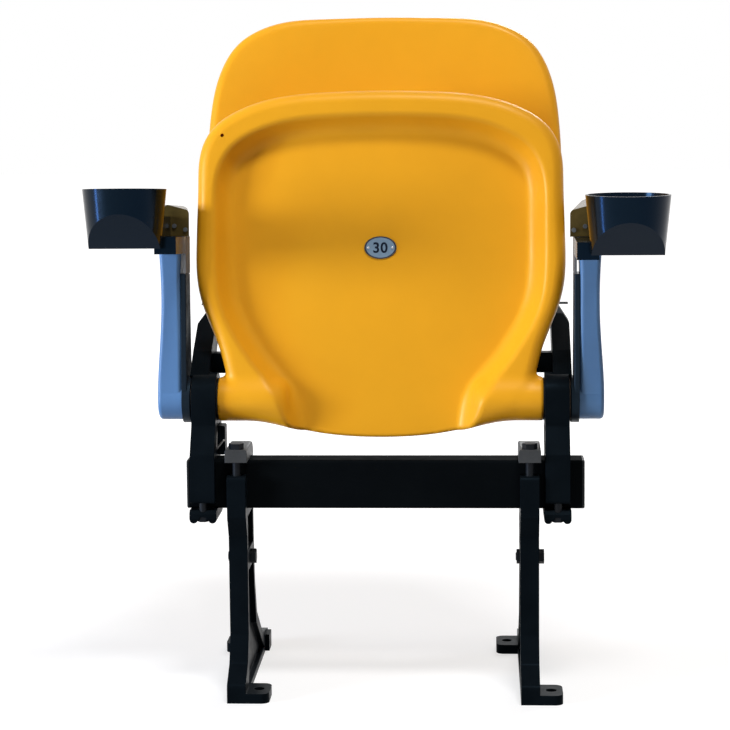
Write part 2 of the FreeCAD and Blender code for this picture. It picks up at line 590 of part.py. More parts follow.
def make_upright(name, side):
    body = new_body("upright_" + name)
    middle = "%d * (%s + Sizes.upright_width / 2)" % (side, upright_in)
    jaw_low = beam_top + " - Sizes.jaw_drop"
    hub = "Sizes.hub_radius"
    slab(body, "YZ_Plane", middle, "Sizes.upright_width", [
        (beam_front + " - Sizes.jaw", jaw_low),
        (beam_front, jaw_low),
        (beam_front, beam_top),
        (beam_rear, beam_top),
        (beam_rear, jaw_low),
        (beam_rear + " + Sizes.jaw", jaw_low),
        (beam_rear + " + Sizes.jaw", beam_top + " + 8"),
        (hub, "-" + hub + " * 0.85"),
        (hub, "0"),
        ("-" + hub, "0"),
        ("-" + hub, "-" + hub + " * 0.85"),
        (beam_front + " - Sizes.jaw", beam_top + " + 8"),
    ])
    lowest = value(jaw_low)
    kept_sharp = (value(beam_rear), value(beam_front))
    fillet(body, "5", lambda e: runs_along(e, 0) and abs(e.CenterOfMass.z) > 1
           and e.CenterOfMass.z > lowest - 1
           and not any(near(e, 1, number) for number in kept_sharp))
    disc(body, "YZ_Plane", middle, "Sizes.upright_width", "0", "0", hub)
    for face in (-1, 1):
        sunk = "%s + %d * (Sizes.upright_width / 2 - 3)" % (middle, face)
        cut_slab(body, "YZ_Plane", sunk, "6", [
            (beam_front + " + 4", beam_top + " + 10"),
            (beam_rear + " - 2", beam_top + " + 10"),
            ("14", "-" + hub + " + 2"),
            ("-14", "-" + hub + " + 2"),
        ])
    bar_middle = "%d * (Sizes.bar_outer - Sizes.bar_width / 2)" % side
    flange_foot = leaned("Sizes.back_thickness / 2", "-Sizes.flange_drop")
    flange_back = leaned("Sizes.back_thickness / 2 + Sizes.flange_thickness",
                         "-Sizes.flange_drop")
    bend = horn_front + " + Sizes.horn_depth"
    slab(body, "YZ_Plane", bar_middle, "Sizes.bar_width", [
        ("-" + hub + " * 0.3", hub + " * 0.3"),
        (hub + " * 0.8", "0"),
        (bend + " + 4", "Sizes.horn_rise - 4"),
        flange_back,
        leaned("Sizes.back_thickness / 2 + Sizes.flange_thickness", "2"),
        leaned("Sizes.back_thickness / 2", "2"),
        (flange_foot[0] + " - 26", flange_foot[1] + " + 4"),
        (horn_front + " - 6", "Sizes.horn_rise + Sizes.horn_height + 4"),
        ("-" + hub + " * 0.3", hub + " * 0.95"),
    ])
    slant_low = horn_middle + " + Sizes.bar_width * 1.9"
    slant_high = horn_middle + " + Sizes.bar_width * 2.8"
    cut_slab(body, "XZ_Plane", "0", "600", [
        ("%d * (Sizes.bar_outer + 1)" % side, slant_low),
        ("%d * (Sizes.bar_outer + 1)" % side, slant_high),
        ("%d * (Sizes.flange_out + 1)" % side, slant_high)])
    flange_middle = "%d * (Sizes.flange_in + Sizes.flange_out) / 2" % side
    slab(body, "YZ_Plane", flange_middle, "Sizes.flange_out - Sizes.flange_in", [
        flange_foot,
        flange_back,
        leaned("Sizes.back_thickness / 2 + Sizes.flange_thickness", "Sizes.flange_height"),
        leaned("Sizes.back_thickness / 2", "Sizes.flange_height"),
    ])
    rib_middle = "%d * (Sizes.flange_out - 5)" % side
    slab(body, "YZ_Plane", rib_middle, "10", [
        flange_back,
        leaned("Sizes.back_thickness / 2 + Sizes.flange_thickness + 16", "2"),
        leaned("Sizes.back_thickness / 2 + Sizes.flange_thickness + 4",
               "Sizes.flange_height - 6"),
        leaned("Sizes.back_thickness / 2 + Sizes.flange_thickness - 1",
               "Sizes.flange_height - 6"),
    ])
    horn_x = "%d * (Sizes.horn_in + Sizes.bar_outer - Sizes.bar_width + 2) / 2" % side
    horn_length = "(Sizes.bar_outer - Sizes.bar_width + 2 - Sizes.horn_in)"
    slab(body, "YZ_Plane", horn_x, horn_length, box_corners(
        horn_front, bend, "Sizes.horn_rise", "Sizes.horn_rise + Sizes.horn_height"))
    horn_end = value("Sizes.horn_in") * side
    fillet(body, "5", lambda e: near(e, 0, horn_end))
    cut_disc(body, "YZ_Plane", "%d * (%s + Sizes.bar_outer + 2) / 2" % (side, upright_out),
             "Sizes.bar_outer + 2 - %s" % upright_out, "0", "0", "Sizes.hub_disc + 1.5")
    cut_disc(body, "YZ_Plane", middle, "Sizes.upright_width + 2", "0", "0",
             "Sizes.pin_radius + Sizes.snug")
    if side < 0:
        leg_slot = "(Sizes.spring_wire * 2 + Sizes.free_gap)"
        cut_slab(body, "YZ_Plane", "-(%s + %s / 2)" % (upright_in, leg_slot), leg_slot,
                 box_corners("-Sizes.spring_radius - Sizes.spring_wire - Sizes.free_gap",
                             "-Sizes.spring_radius + Sizes.spring_wire + Sizes.free_gap",
                             "-Sizes.barrel_radius - 37", "Sizes.spring_wire + 1"))
    holes = new_sketch(body, "XZ_Plane", "-Sizes.back_behind")
    holes.AttachmentOffset = Placement(holes.AttachmentOffset.Base,
                                       Rotation(Vector(1, 0, 0), -1))
    holes.setExpression("AttachmentOffset.Rotation.Angle", "-Sizes.back_lean * 1deg")
    holes.setExpression("AttachmentOffset.Base.y", "Sizes.back_bottom - Sizes.pivot_height")
    for height in ("Sizes.back_hole_low", "Sizes.back_hole_low + Sizes.back_hole_pitch"):
        add_circle(holes, "%d * Sizes.back_hole_in" % side, height,
                   "Sizes.back_screw + Sizes.snug")
    pocket(body, holes, "4 * Sizes.back_thickness")
    for x in (-1, 1):
        jaw_y = "-Sizes.beam_forward + %d * (Sizes.beam_depth + Sizes.jaw) / 2" % x
        cut_disc(body, "XY_Plane", jaw_low, "60", middle, jaw_y,
                 "Sizes.clamp_bolt + Sizes.snug")
    place(body)


def make_keeper(name, side):
    """Plate that clamps an upright to the beam from below, with three rounded ridges."""
    body = new_body("upright_keeper_" + name)
    middle = "%d * (%s + Sizes.upright_width / 2)" % (side, upright_in)
    width = "(Sizes.upright_width + 3)"
    top = "(%s - Sizes.free_gap)" % beam_low
    low = "(%s - Sizes.keeper_thickness)" % top
    front = "(%s - Sizes.jaw)" % beam_front
    rear = "(%s + Sizes.jaw)" % beam_rear
    slab(body, "YZ_Plane", middle, width, [
        (front, top + " - 4"), (front, low), (rear, low), (rear, top + " - 4"),
        (rear + " - 4", top), (front + " + 4", top),
    ])
    length = "(Sizes.beam_depth + 2 * Sizes.jaw - 4)"
    for ridge in (-1, 0, 1):
        disc(body, "XZ_Plane", "Sizes.beam_forward", length,
             middle + " + %d * (%s / 2 - 5)" % (ridge, width), low, "5")
    for y in (front + " + Sizes.jaw / 2", rear + " - Sizes.jaw / 2"):
        cut_disc(body, "XY_Plane", low, "4 * Sizes.keeper_thickness", middle, y,
                 "Sizes.clamp_bolt + Sizes.snug")
        cut_disc(body, "XY_Plane", low + " + Sizes.clamp_sink - 10", "20", middle, y,
                 "Sizes.clamp_head * 0.6")
    place(body)


def make_upright_bolts():
    """Two bolts through each keeper, with sunk heads, into the jaws of its upright."""
    bolts = []
    low = value("%s - Sizes.free_gap - Sizes.keeper_thickness + Sizes.clamp_sink" % beam_low)
    for side in (-1, 1):
        x = side * value("%s + Sizes.upright_width / 2" % upright_in)
        for y in (value(beam_front + " - Sizes.jaw / 2"), value(beam_rear + " + Sizes.jaw / 2")):
            bolts.append(bolt(value("Sizes.clamp_bolt"), value("Sizes.clamp_head"), 6, 36,
                              Vector(x, y, low), Vector(0, 0, 1)))
    shape_piece("upright_bolts", Part.makeCompound(bolts))


def make_bumper(name, side):
    body = new_body("stop_bumper_" + name)
    x = "%d * %s" % (side, bumper_in)
    disc(body, "XZ_Plane", "-(%s) + Sizes.bumper_rise / 2" % horn_front, "Sizes.bumper_rise",
         x, horn_middle, "Sizes.bumper_radius")
    front = value(horn_front + " - Sizes.bumper_rise")
    fillet(body, "1.5", lambda e: near(e, 1, front) and len(e.Vertexes) == 1)
    place(body)


def make_anchor():
    """Plate on the left upright that holds the fixed end of the return spring."""
    body = new_body("spring_anchor")
    middle = "-(%s - Sizes.anchor_width / 2)" % upright_in
    high = "(-Sizes.barrel_radius - 5)"
    front = "(-Sizes.spring_radius + Sizes.spring_wire + Sizes.free_gap)"
    slab(body, "YZ_Plane", middle, "Sizes.anchor_width",
         box_corners(front, "12", high + " - Sizes.anchor_height", high))
    inner = value("-(%s - Sizes.anchor_width)" % upright_in)
    fillet(body, "2.5", lambda e: near(e, 0, inner) and not runs_along(e, 0))
    place(body)


# Hinge of the seat

def make_pin(name, side):
    body = new_body("hinge_pin_" + name)
    inner = "(Sizes.barrel_length / 2 - Sizes.socket_depth + 6)"
    outer = "(Sizes.post_in + Sizes.post_low - 5)"
    disc(body, "YZ_Plane", "%d * (%s + %s) / 2" % (side, inner, outer),
         "%s - %s" % (outer, inner), "0", "0", "Sizes.pin_radius")
    ends = (side * value(inner), side * value(outer))
    fillet(body, "1", lambda e: len(e.Vertexes) == 1 and any(near(e, 0, x) for x in ends))
    place(body)


def make_hinge_rings(name, side):
    """Bush deep in the barrel, thrust washer beside it and friction washer of the arm."""
    radius = value("Sizes.pin_radius")
    play = value("Sizes.pin_play")
    bush_in = value("Sizes.barrel_length / 2 - Sizes.socket_depth + 8") * side
    bush_out = bush_in + side * value("Sizes.bush_length")
    bush = tube_along_x(value("Sizes.socket_radius - Sizes.snug"), bush_in, bush_out,
                        radius + play)
    shape_piece("hinge_bush_" + name, bush)
    washer_in = side * value("Sizes.barrel_length / 2 + Sizes.side_gap")
    washer_out = washer_in + side * value("Sizes.thrust_washer")
    washer = tube_along_x(value("Sizes.barrel_radius - 1"), washer_in, washer_out,
                          value("Sizes.spring_radius + Sizes.spring_wire + 2"))
    shape_piece("thrust_washer_" + name, washer)
    fibre_in = side * value(upright_out + " + Sizes.side_gap")
    fibre_out = fibre_in + side * value("Sizes.thrust_washer")
    fibre = tube_along_x(value("Sizes.hub_disc - 3"), fibre_in, fibre_out, radius + play)
    shape_piece("friction_washer_" + name, fibre)


nut_in = "(Sizes.post_in + Sizes.post_low - Sizes.nut_thickness - Sizes.nut_sink)"


def make_pin_nuts():
    nuts = []
    for side in (-1, 1):
        base = Vector(side * value(nut_in), 0, 0)
        nut = hexagon(value("Sizes.nut_across"), value("Sizes.nut_thickness"), base,
                      Vector(side, 0, 0))
        hole = Part.makeCylinder(value("Sizes.pin_radius + Sizes.snug"), 20,
                                 base - Vector(side * 5, 0, 0), Vector(side, 0, 0))
        nuts.append(nut.cut(hole))
    shape_piece("hinge_nuts", Part.makeCompound(nuts))


def rod(radius, start, end):
    """Round wire between two points, with a ball at its end."""
    way = end - start
    return Part.makeCylinder(radius, way.Length, start, way).fuse(Part.makeSphere(radius, end))


def make_spring():
    """Torsion spring around the left pin; its fixed leg runs down to the anchor."""
    radius = value("Sizes.spring_radius")
    wire = value("Sizes.spring_wire")
    pitch = value("Sizes.spring_pitch")
    start = -value("Sizes.barrel_length") / 2 + 2
    coil = None
    section = [Vector(wire * math.cos(math.radians(60 * i)), -radius
                      + wire * math.sin(math.radians(60 * i)), 0) for i in range(7)]
    for half_turn in range(2 * int(value("Sizes.spring_turns"))):
        way = 1 if half_turn % 2 == 0 else -1
        ring = Part.Face(Part.makePolygon([Vector(p.x, way * p.y, 0) for p in section]))
        ring = ring.revolve(Vector(), Vector(1, 0, 0), 180)
        ring.translate(Vector(start + pitch / 2 * half_turn, 0, 0))
        coil = ring if coil is None else coil.fuse(ring)
    groove_middle = -value(upright_in) - wire - value("Sizes.free_gap") / 2
    leave = Vector(start, -radius, 0)
    corner = Vector(groove_middle, -radius, 0)
    foot = Vector(groove_middle, -radius, -value("Sizes.barrel_radius") - 34)
    hook = foot + Vector(9, 0, 11)
    for first, last in ((leave, corner), (corner, foot), (foot, hook)):
        coil = coil.fuse(rod(wire, first, last))
    shape_piece("return_spring", coil)


# Blown mouldings

def inset(points, distance):
    """Closed list of (x, z) points moved inwards; the list runs anticlockwise."""
    moved = []
    count = len(points)
    for i, (x, z) in enumerate(points):
        before = points[i - 1]
        after = points[(i + 1) % count]
        along = Vector(after[0] - before[0], after[1] - before[1], 0)
        along.normalize()
        moved.append((x - along.y * distance, z + along.x * distance))
    return moved


def both_sides(half):
    """Whole outline from its right half, given from the lowest to the highest point."""
    left = [(-x, z) for x, z in reversed(half[1:-1])]
    return half + left


def smooth_wire(points, y):
    """Closed smooth curve through (x, z) points in the plane at y."""
    curve = Part.BSplineCurve()
    curve.interpolate([Vector(x, y, z) for x, z in points], PeriodicFlag=True)
    return Part.Wire([curve.toShape()])


def cushion_block(points, thickness, rounding, hidden):
    """Flat block with the outline given; its edges are rounded, or bevelled where hidden."""
    front = smooth_wire(points, -thickness / 2)
    block = Part.Face(front).extrude(Vector(0, thickness, 0))
    rims = [e for e in block.Edges if abs(abs(e.CenterOfMass.y) - thickness / 2) < 0.01
            and len(e.Vertexes) == 1 and abs(e.BoundBox.YLength) < 0.01]
    if hidden:
        return block.makeChamfer(rounding * 0.75, rims)
    return block.makeFillet(rounding, rims)


def corner_points(half, top, corner, spread):
    """Points of a rounded upper corner, from the side up to the middle of the top."""
    return [(half - across * corner, top - down * corner) for across, down in spread] + [(0, top)]


seat_corner_spread = [(0.03, 1.86), (0.14, 1.0), (0.37, 0.66), (0.76, 0.39), (1.23, 0.2),
                      (1.98, 0.06), (2.75, 0.015)]
back_corner_spread = [(0.02, 1.55), (0.1, 1.0), (0.22, 0.66), (0.42, 0.37), (0.7, 0.18),
                      (1.04, 0.065), (1.65, 0.015)]


def seat_outline():
    half = value("Sizes.seat_width") / 2
    neck = value("Sizes.seat_neck") / 2
    tail = value("Sizes.seat_tail")
    top = value("Sizes.seat_length")
    throat = value("Sizes.dish_throat") / 2
    flare = half - neck
    points = [(0, -tail), (throat * 0.49, 3 - tail), (throat * 0.86, 11 - tail),
              (throat * 1.12, 21 - tail), (neck - 20, 34 - tail), (neck - 4, 52 - tail),
              (neck + flare * 0.33, top * 0.157), (neck + flare * 0.62, top * 0.244),
              (half - 3, top * 0.354)]
    points.append((half, top / 2))
    return both_sides(points + corner_points(half, top, value("Sizes.seat_corner"),
                                             seat_corner_spread))


def dish_outline():
    half = value("Sizes.seat_width / 2 - Sizes.dish_side")
    top = value("Sizes.seat_length - Sizes.dish_top")
    tail = value("Sizes.seat_tail")
    throat = value("Sizes.dish_throat") / 2
    run = half - throat
    points = [(0, -tail - 60), (throat * 0.55, -tail - 52), (throat * 0.86, -tail - 24),
              (throat * 0.94, -tail + 8), (throat, 0), (throat + run * 0.28, top * 0.094),
              (throat + run * 0.62, top * 0.25), (throat + run * 0.86, top * 0.39),
              (half, top * 0.584)]
    return both_sides(points + corner_points(half, top, value("Sizes.dish_corner"),
                                             seat_corner_spread[1:]))


def dish_tool(skin):
    """Solid that cuts the dish: its wall slopes in an S from the rim to the floor."""
    thickness = value("Sizes.seat_thickness")
    depth = value("Sizes.dish_depth") + skin
    slope = value("Sizes.dish_slope")
    front = -thickness / 2
    steps = [(-2, -7), (0.06 * depth, -3), (0.25 * depth, 3), (0.75 * depth, slope - 3),
             (0.95 * depth, slope + 3), (depth, slope + 11)]
    wires = [smooth_wire(inset(dish_outline(), move - skin), front + deep)
             for deep, move in steps]
    return Part.makeLoft(wires, True, True)


def hollow_tool(width, depth, middle, surface, way):
    """Ball whose cap presses a hollow of a depth into a flat surface."""
    radius = (width * width / 4 + depth * depth) / (2 * depth)
    return Part.makeSphere(radius, Vector(0, surface - way * depth + way * radius, middle))


def seat_block(skin):
    """Seat without its barrels, thinner by skin all round."""
    thickness = value("Sizes.seat_thickness")
    block = cushion_block(inset(seat_outline(), skin), thickness - 2 * skin,
                          value("Sizes.seat_edge") - skin, skin > 0)
    hollow = hollow_tool(value("Sizes.seat_width") * 0.86, value("Sizes.sitting_hollow"),
                         value("Sizes.seat_length") * 0.5, thickness / 2 - skin, 1)
    return block.cut(dish_tool(skin)).cut(hollow)


def barrel(side, radius, end):
    root = value("Sizes.barrel_inner")
    taper = value("Sizes.barrel_taper")
    way = Vector(side, 0, 0)
    straight = Part.makeCylinder(radius, end - root, Vector(side * root, 0, 0), way)
    cone = Part.makeCone(radius * 0.6, radius, taper, Vector(side * (root - taper), 0, 0), way)
    return straight.fuse(cone)


def make_seat():
    wall = value("Sizes.seat_wall")
    end = value("Sizes.barrel_length") / 2
    radius = value("Sizes.barrel_radius")
    seat = seat_block(0)
    cavity = seat_block(wall)
    for side in (-1, 1):
        seat = seat.fuse(barrel(side, radius, end))
        cavity = cavity.cut(barrel(side, radius, end))
    seat = seat.cut(dish_tool(0)).cut(cavity)
    depth = value("Sizes.socket_depth")
    for side in (-1, 1):
        socket = Part.makeCylinder(value("Sizes.socket_radius"), depth,
                                   Vector(side * (end - depth), 0, 0), Vector(side, 0, 0))
        seat = seat.cut(socket)
    vent_x = -value("Sizes.seat_width / 2 - Sizes.dish_side * 1.4")
    vent_z = value("Sizes.seat_length - Sizes.dish_top * 1.85")
    vent = Part.makeCylinder(value("Sizes.vent_radius"), value("Sizes.seat_thickness") / 2,
                             Vector(vent_x, -value("Sizes.seat_thickness") / 2 - 1, vent_z),
                             Vector(0, 1, 0))
    seat = seat.cut(vent)
    floor = value("Sizes.dish_depth - Sizes.seat_thickness / 2")
    for side in (-1, 1):
        start = Vector(side * value("Sizes.rivet_pitch") / 2, floor - 1,
                       value("Sizes.plate_rise"))
        seat = seat.cut(Part.makeCylinder(value("Sizes.rivet_radius * 0.6 + Sizes.snug"),
                                          wall + 0.7, start, Vector(0, 1, 0)))
    shape_piece("seat_shell", seat, turn="-Sizes.seat_lean * 1deg")


def make_number_plate():
    """Oval plate on the floor of the dish, with a raised border, and its two rivets."""
    across = value("Sizes.plate_width") / 2
    up = value("Sizes.plate_tall") / 2
    thickness = value("Sizes.plate_thickness")
    floor = value("Sizes.dish_depth - Sizes.seat_thickness / 2")
    middle = Vector(0, floor, value("Sizes.plate_rise"))

    def oval(grow, deep):
        ellipse = Part.Ellipse(Vector(), across + grow, up + grow)
        face = Part.Face(Part.Wire([ellipse.toShape()])).extrude(Vector(0, 0, deep))
        face.Placement = Placement(middle, Rotation(Vector(1, 0, 0), 90))
        return face

    plate = oval(0, thickness).cut(oval(-1.4, thickness + 1).cut(oval(-1.4, thickness - 0.3)))
    rivets = []
    for side in (-1, 1):
        foot = middle + Vector(side * value("Sizes.rivet_pitch") / 2, 0, 0)
        radius = value("Sizes.rivet_radius")
        shank = Part.makeCylinder(radius * 0.6, 6, foot + Vector(0, 3, 0), Vector(0, -1, 0))
        head = Part.makeCylinder(radius, 0.8, foot - Vector(0, thickness - 0.3, 0),
                                 Vector(0, -1, 0))
        rivets.append(shank.fuse(head))
        plate = plate.cut(Part.makeCylinder(radius * 0.6 + 0.05, 9, foot + Vector(0, 4, 0),
                                            Vector(0, -1, 0)))
    shape_piece("number_plate", plate, turn="-Sizes.seat_lean * 1deg")
    shape_piece("plate_rivets", Part.makeCompound(rivets), turn="-Sizes.seat_lean * 1deg")


def back_outline():
    half = value("Sizes.back_width") / 2
    top = value("Sizes.back_length")
    points = [(0, 0), (half * 0.42, 2), (half * 0.7, 13), (half * 0.88, 42), (half * 0.97, 95)]
    return both_sides(points + corner_points(half, top, value("Sizes.back_corner"),
                                             back_corner_spread))


def back_block(skin):
    thickness = value("Sizes.back_thickness")
    block = cushion_block(inset(back_outline(), skin), thickness - 2 * skin,
                          value("Sizes.back_edge") - skin, skin > 0)
    hollow = hollow_tool(value("Sizes.back_width") * 0.9, value("Sizes.back_hollow"),
                         value("Sizes.back_length") * 0.5, -thickness / 2 + skin, -1)
    return block.cut(hollow)


def back_holes():
    """Middles of the backrest's screws, in the backrest's own plane."""
    low = value("Sizes.back_hole_low")
    return [(side * value("Sizes.back_hole_in"), low + row * value("Sizes.back_hole_pitch"))
            for side in (-1, 1) for row in (0, 1)]


def place_on_back(piece):
    return place(piece, y=pivot_y + " + Sizes.back_behind", z="Sizes.back_bottom",
                 turn="-Sizes.back_lean * 1deg")


def make_back():
    rear = value("Sizes.back_thickness") / 2
    deep = rear * 2 - value("Sizes.back_hollow") - 4
    back = back_block(0)
    cavity = back_block(value("Sizes.back_wall"))
    for x, z in back_holes():
        cavity = cavity.cut(Part.makeCylinder(value("Sizes.back_boss"), 4 * rear,
                                              Vector(x, -2 * rear, z), Vector(0, 1, 0)))
    back = back.cut(cavity)
    for x, z in back_holes():
        back = back.cut(Part.makeCylinder(value("Sizes.back_screw + Sizes.snug"), deep,
                                          Vector(x, rear, z), Vector(0, -1, 0)))
    piece = doc.addObject("Part::Feature", "back_shell")
    piece.Label = "back_shell"
    piece.Shape = back
    place_on_back(piece)
    flange = rear + value("Sizes.flange_thickness")
    screws = []
    for x, z in back_holes():
        length = flange - rear + deep - 2
        screws.append(bolt(value("Sizes.back_screw"), value("Sizes.back_screw_head"), 5, length,
                           Vector(x, flange, z), Vector(0, -1, 0)))
    piece = doc.addObject("Part::Feature", "back_screws")
    piece.Label = "back_screws"
    piece.Shape = Part.makeCompound(screws)
    place_on_back(piece)


# Arms

arm_turn = {"left": "-Sizes.left_arm_lift * 1deg", "right": "0 * 1deg"}


def rounded_station(side, height, inner, width, middle, depth, rounding):
    """Level rounded rectangle: one slice of an arm post."""
    left = min(side * inner, side * (inner + width))
    corners = [(left, middle - depth / 2), (left + width, middle - depth / 2),
               (left + width, middle + depth / 2), (left, middle + depth / 2)]
    edges = []
    bend = rounding * (1 - math.sqrt(0.5))
    for i, (x, y) in enumerate(corners):
        to_x = 1 if x == left else -1
        to_y = 1 if y < middle else -1
        on_side = Vector(x, y + to_y * rounding, height)
        on_end = Vector(x + to_x * rounding, y, height)
        halfway = Vector(x + to_x * bend, y + to_y * bend, height)
        first, last = (on_side, on_end) if i % 2 == 0 else (on_end, on_side)
        edges.append(Part.Arc(first, halfway, last).toShape())
    straights = [Part.LineSegment(edges[i].Vertexes[-1].Point,
                                  edges[(i + 1) % 4].Vertexes[0].Point).toShape()
                 for i in range(4)]
    return Part.Wire([edge for pair in zip(edges, straights) for edge in pair])


def make_post(name, side):
    """Moulded post: slices of changing width and depth, and a round end at the hub."""
    inner = value("Sizes.post_in")
    low = value("Sizes.post_low")
    mid = value("Sizes.post_mid")
    high = value("Sizes.post_height")
    hub = value("Sizes.post_hub")
    forward = value("Sizes.post_set_forward")
    depth = value("Sizes.post_depth")
    top_depth = value("Sizes.post_depth_top")
    slices = [
        (0, inner, low, 0, 1.88 * hub),
        (high * 0.25, inner, low * 0.93, -forward / 4, depth + 2),
        (high * 0.5, inner, mid, -forward * 3 / 4, depth),
        (value("Sizes.cover_height"), inner, mid, -forward, depth),
        (high, value("Sizes.post_top_in"), value("Sizes.post_top"),
         top_depth / 2 - value("Sizes.post_reach"), top_depth),
    ]
    post = Part.makeLoft([rounded_station(side, *one, value("Sizes.post_round"))
                          for one in slices], True, False)
    root = Part.makeCylinder(hub, low, Vector(side * inner, 0, 0), Vector(side, 0, 0))
    root = root.makeFillet(value("Sizes.post_round"), [
        edge for edge in root.Edges if abs(edge.CenterOfMass.x - side * (inner + low)) < 0.01
        and len(edge.Vertexes) == 1])
    post = post.fuse(root)
    post = post.cut(tube_along_x(value("Sizes.pin_radius + Sizes.pin_play"),
                                 side * (inner - 1), side * (inner + low + 1)))
    recess = value("Sizes.nut_thickness + Sizes.nut_sink")
    post = post.cut(tube_along_x(value("Sizes.nut_across") / 2 + 4,
                                 side * (inner + low - recess), side * (inner + low + 6)))
    shape_piece("arm_post_" + name, post, turn=arm_turn[name])


def make_arm_cover(name, side):
    body = new_body("arm_cover_" + name)
    outer = "(Sizes.post_in - Sizes.free_gap)"
    disc(body, "YZ_Plane", "%d * (%s + %s) / 2" % (side, arm_disc_in, outer),
         "%s - %s" % (outer, arm_disc_in), "0", "0", "Sizes.hub_disc")
    inner = side * value(arm_disc_in)
    fillet(body, "1.5", lambda e: near(e, 0, inner))
    slab(body, "YZ_Plane", "%d * (Sizes.cover_in + %s) / 2" % (side, outer),
         "%s - Sizes.cover_in" % outer, [
             ("-Sizes.hub_disc + 2", "0"), ("Sizes.hub_disc - 2", "0"),
             ("Sizes.cover_rear * 1.5", "Sizes.cover_height * 0.4"),
             ("Sizes.cover_rear * 1.15", "Sizes.cover_height * 0.75"),
             ("Sizes.cover_rear", "Sizes.cover_height"),
             ("-Sizes.cover_front", "Sizes.cover_height"),
             ("-Sizes.cover_front * 0.97", "Sizes.cover_height * 0.4")])
    face = side * value("Sizes.cover_in")
    fillet(body, "2", lambda e: near(e, 0, face) and e.CenterOfMass.z > 40)
    cut_disc(body, "YZ_Plane", "%d * (%s + %s) / 2" % (side, arm_disc_in, outer),
             "%s - %s + 2" % (outer, arm_disc_in), "0", "0", "Sizes.pin_radius + Sizes.pin_play")
    place(body, turn=arm_turn[name])


def make_hub_cap(name, side):
    body = new_body("hub_cap_" + name)
    outer = "(Sizes.post_in + Sizes.post_low - 0.6)"
    disc(body, "YZ_Plane", "%d * (%s - 1.2)" % (side, outer), "2.4", "0", "0",
         "Sizes.nut_across / 2 + 4 - Sizes.snug")
    place(body, turn=arm_turn[name])


rest_low = "(Sizes.post_height + Sizes.free_gap / 10)"


def make_arm_core(name, side):
    """Steel plate that shows between an arm's cover and its armrest."""
    body = new_body("arm_core_" + name)
    slab(body, "YZ_Plane", "%d * (Sizes.cover_in + Sizes.core_thickness / 2)" % side,
         "Sizes.core_thickness", box_corners(
             "-Sizes.cover_front", "Sizes.cover_rear", "Sizes.cover_height + Sizes.free_gap",
             rest_low + " - Sizes.free_gap"))
    place(body, turn=arm_turn[name])


def make_armrest(name, side):
    body = new_body("armrest_" + name)
    inner = "%d * Sizes.rest_in" % side
    outer = "%d * (Sizes.rest_in + Sizes.rest_width)" % side
    crown = "%d * (Sizes.rest_in + Sizes.rest_width * 0.62)" % side
    high = rest_low + " + Sizes.rest_height"
    middle = "(Sizes.rest_front - Sizes.rest_back) / 2"
    slab(body, "XZ_Plane", middle, "Sizes.rest_front + Sizes.rest_back", [
        (inner, rest_low), (outer, rest_low), (outer, high + " - 4"), (crown, high),
        (inner, high + " - Sizes.rest_fall")])
    cut_slab(body, "XY_Plane", high, "4 * Sizes.rest_height", [
        (inner, "-Sizes.rest_front"),
        (inner + " + %d * Sizes.rest_taper" % side, "Sizes.rest_back"),
        (inner + " + %d * Sizes.rest_taper" % side, "Sizes.rest_back + 1"),
        (inner + " - %d" % side, "Sizes.rest_back + 1"),
        (inner + " - %d" % side, "-Sizes.rest_front")])
    bottom = value(rest_low)
    fillet(body, "Sizes.rest_round", lambda e: runs_back(e) and e.CenterOfMass.z > bottom + 5)
    cut_slab(body, "YZ_Plane", "%d * (Sizes.rest_in + Sizes.rest_width / 2)" % side,
             "Sizes.rest_width + 4", [
                 ("Sizes.rest_sole", rest_low + " - 1"),
                 ("Sizes.rest_back + 1", rest_low + " - 1"),
                 ("Sizes.rest_back + 1", high + " - Sizes.rest_tip"),
                 ("Sizes.rest_back - 12", high + " - Sizes.rest_tip")])
    rear = value("Sizes.rest_back")
    fillet(body, "5", lambda e: near(e, 1, rear))
    for across, height in screw_places:
        cut_disc(body, "XZ_Plane", "Sizes.rest_front - 9", "18",
                 "%d * (Sizes.rest_in + %g)" % (side, across), rest_low + " + %g" % height,
                 "Sizes.arm_screw + Sizes.snug")
    place(body, turn=arm_turn[name])


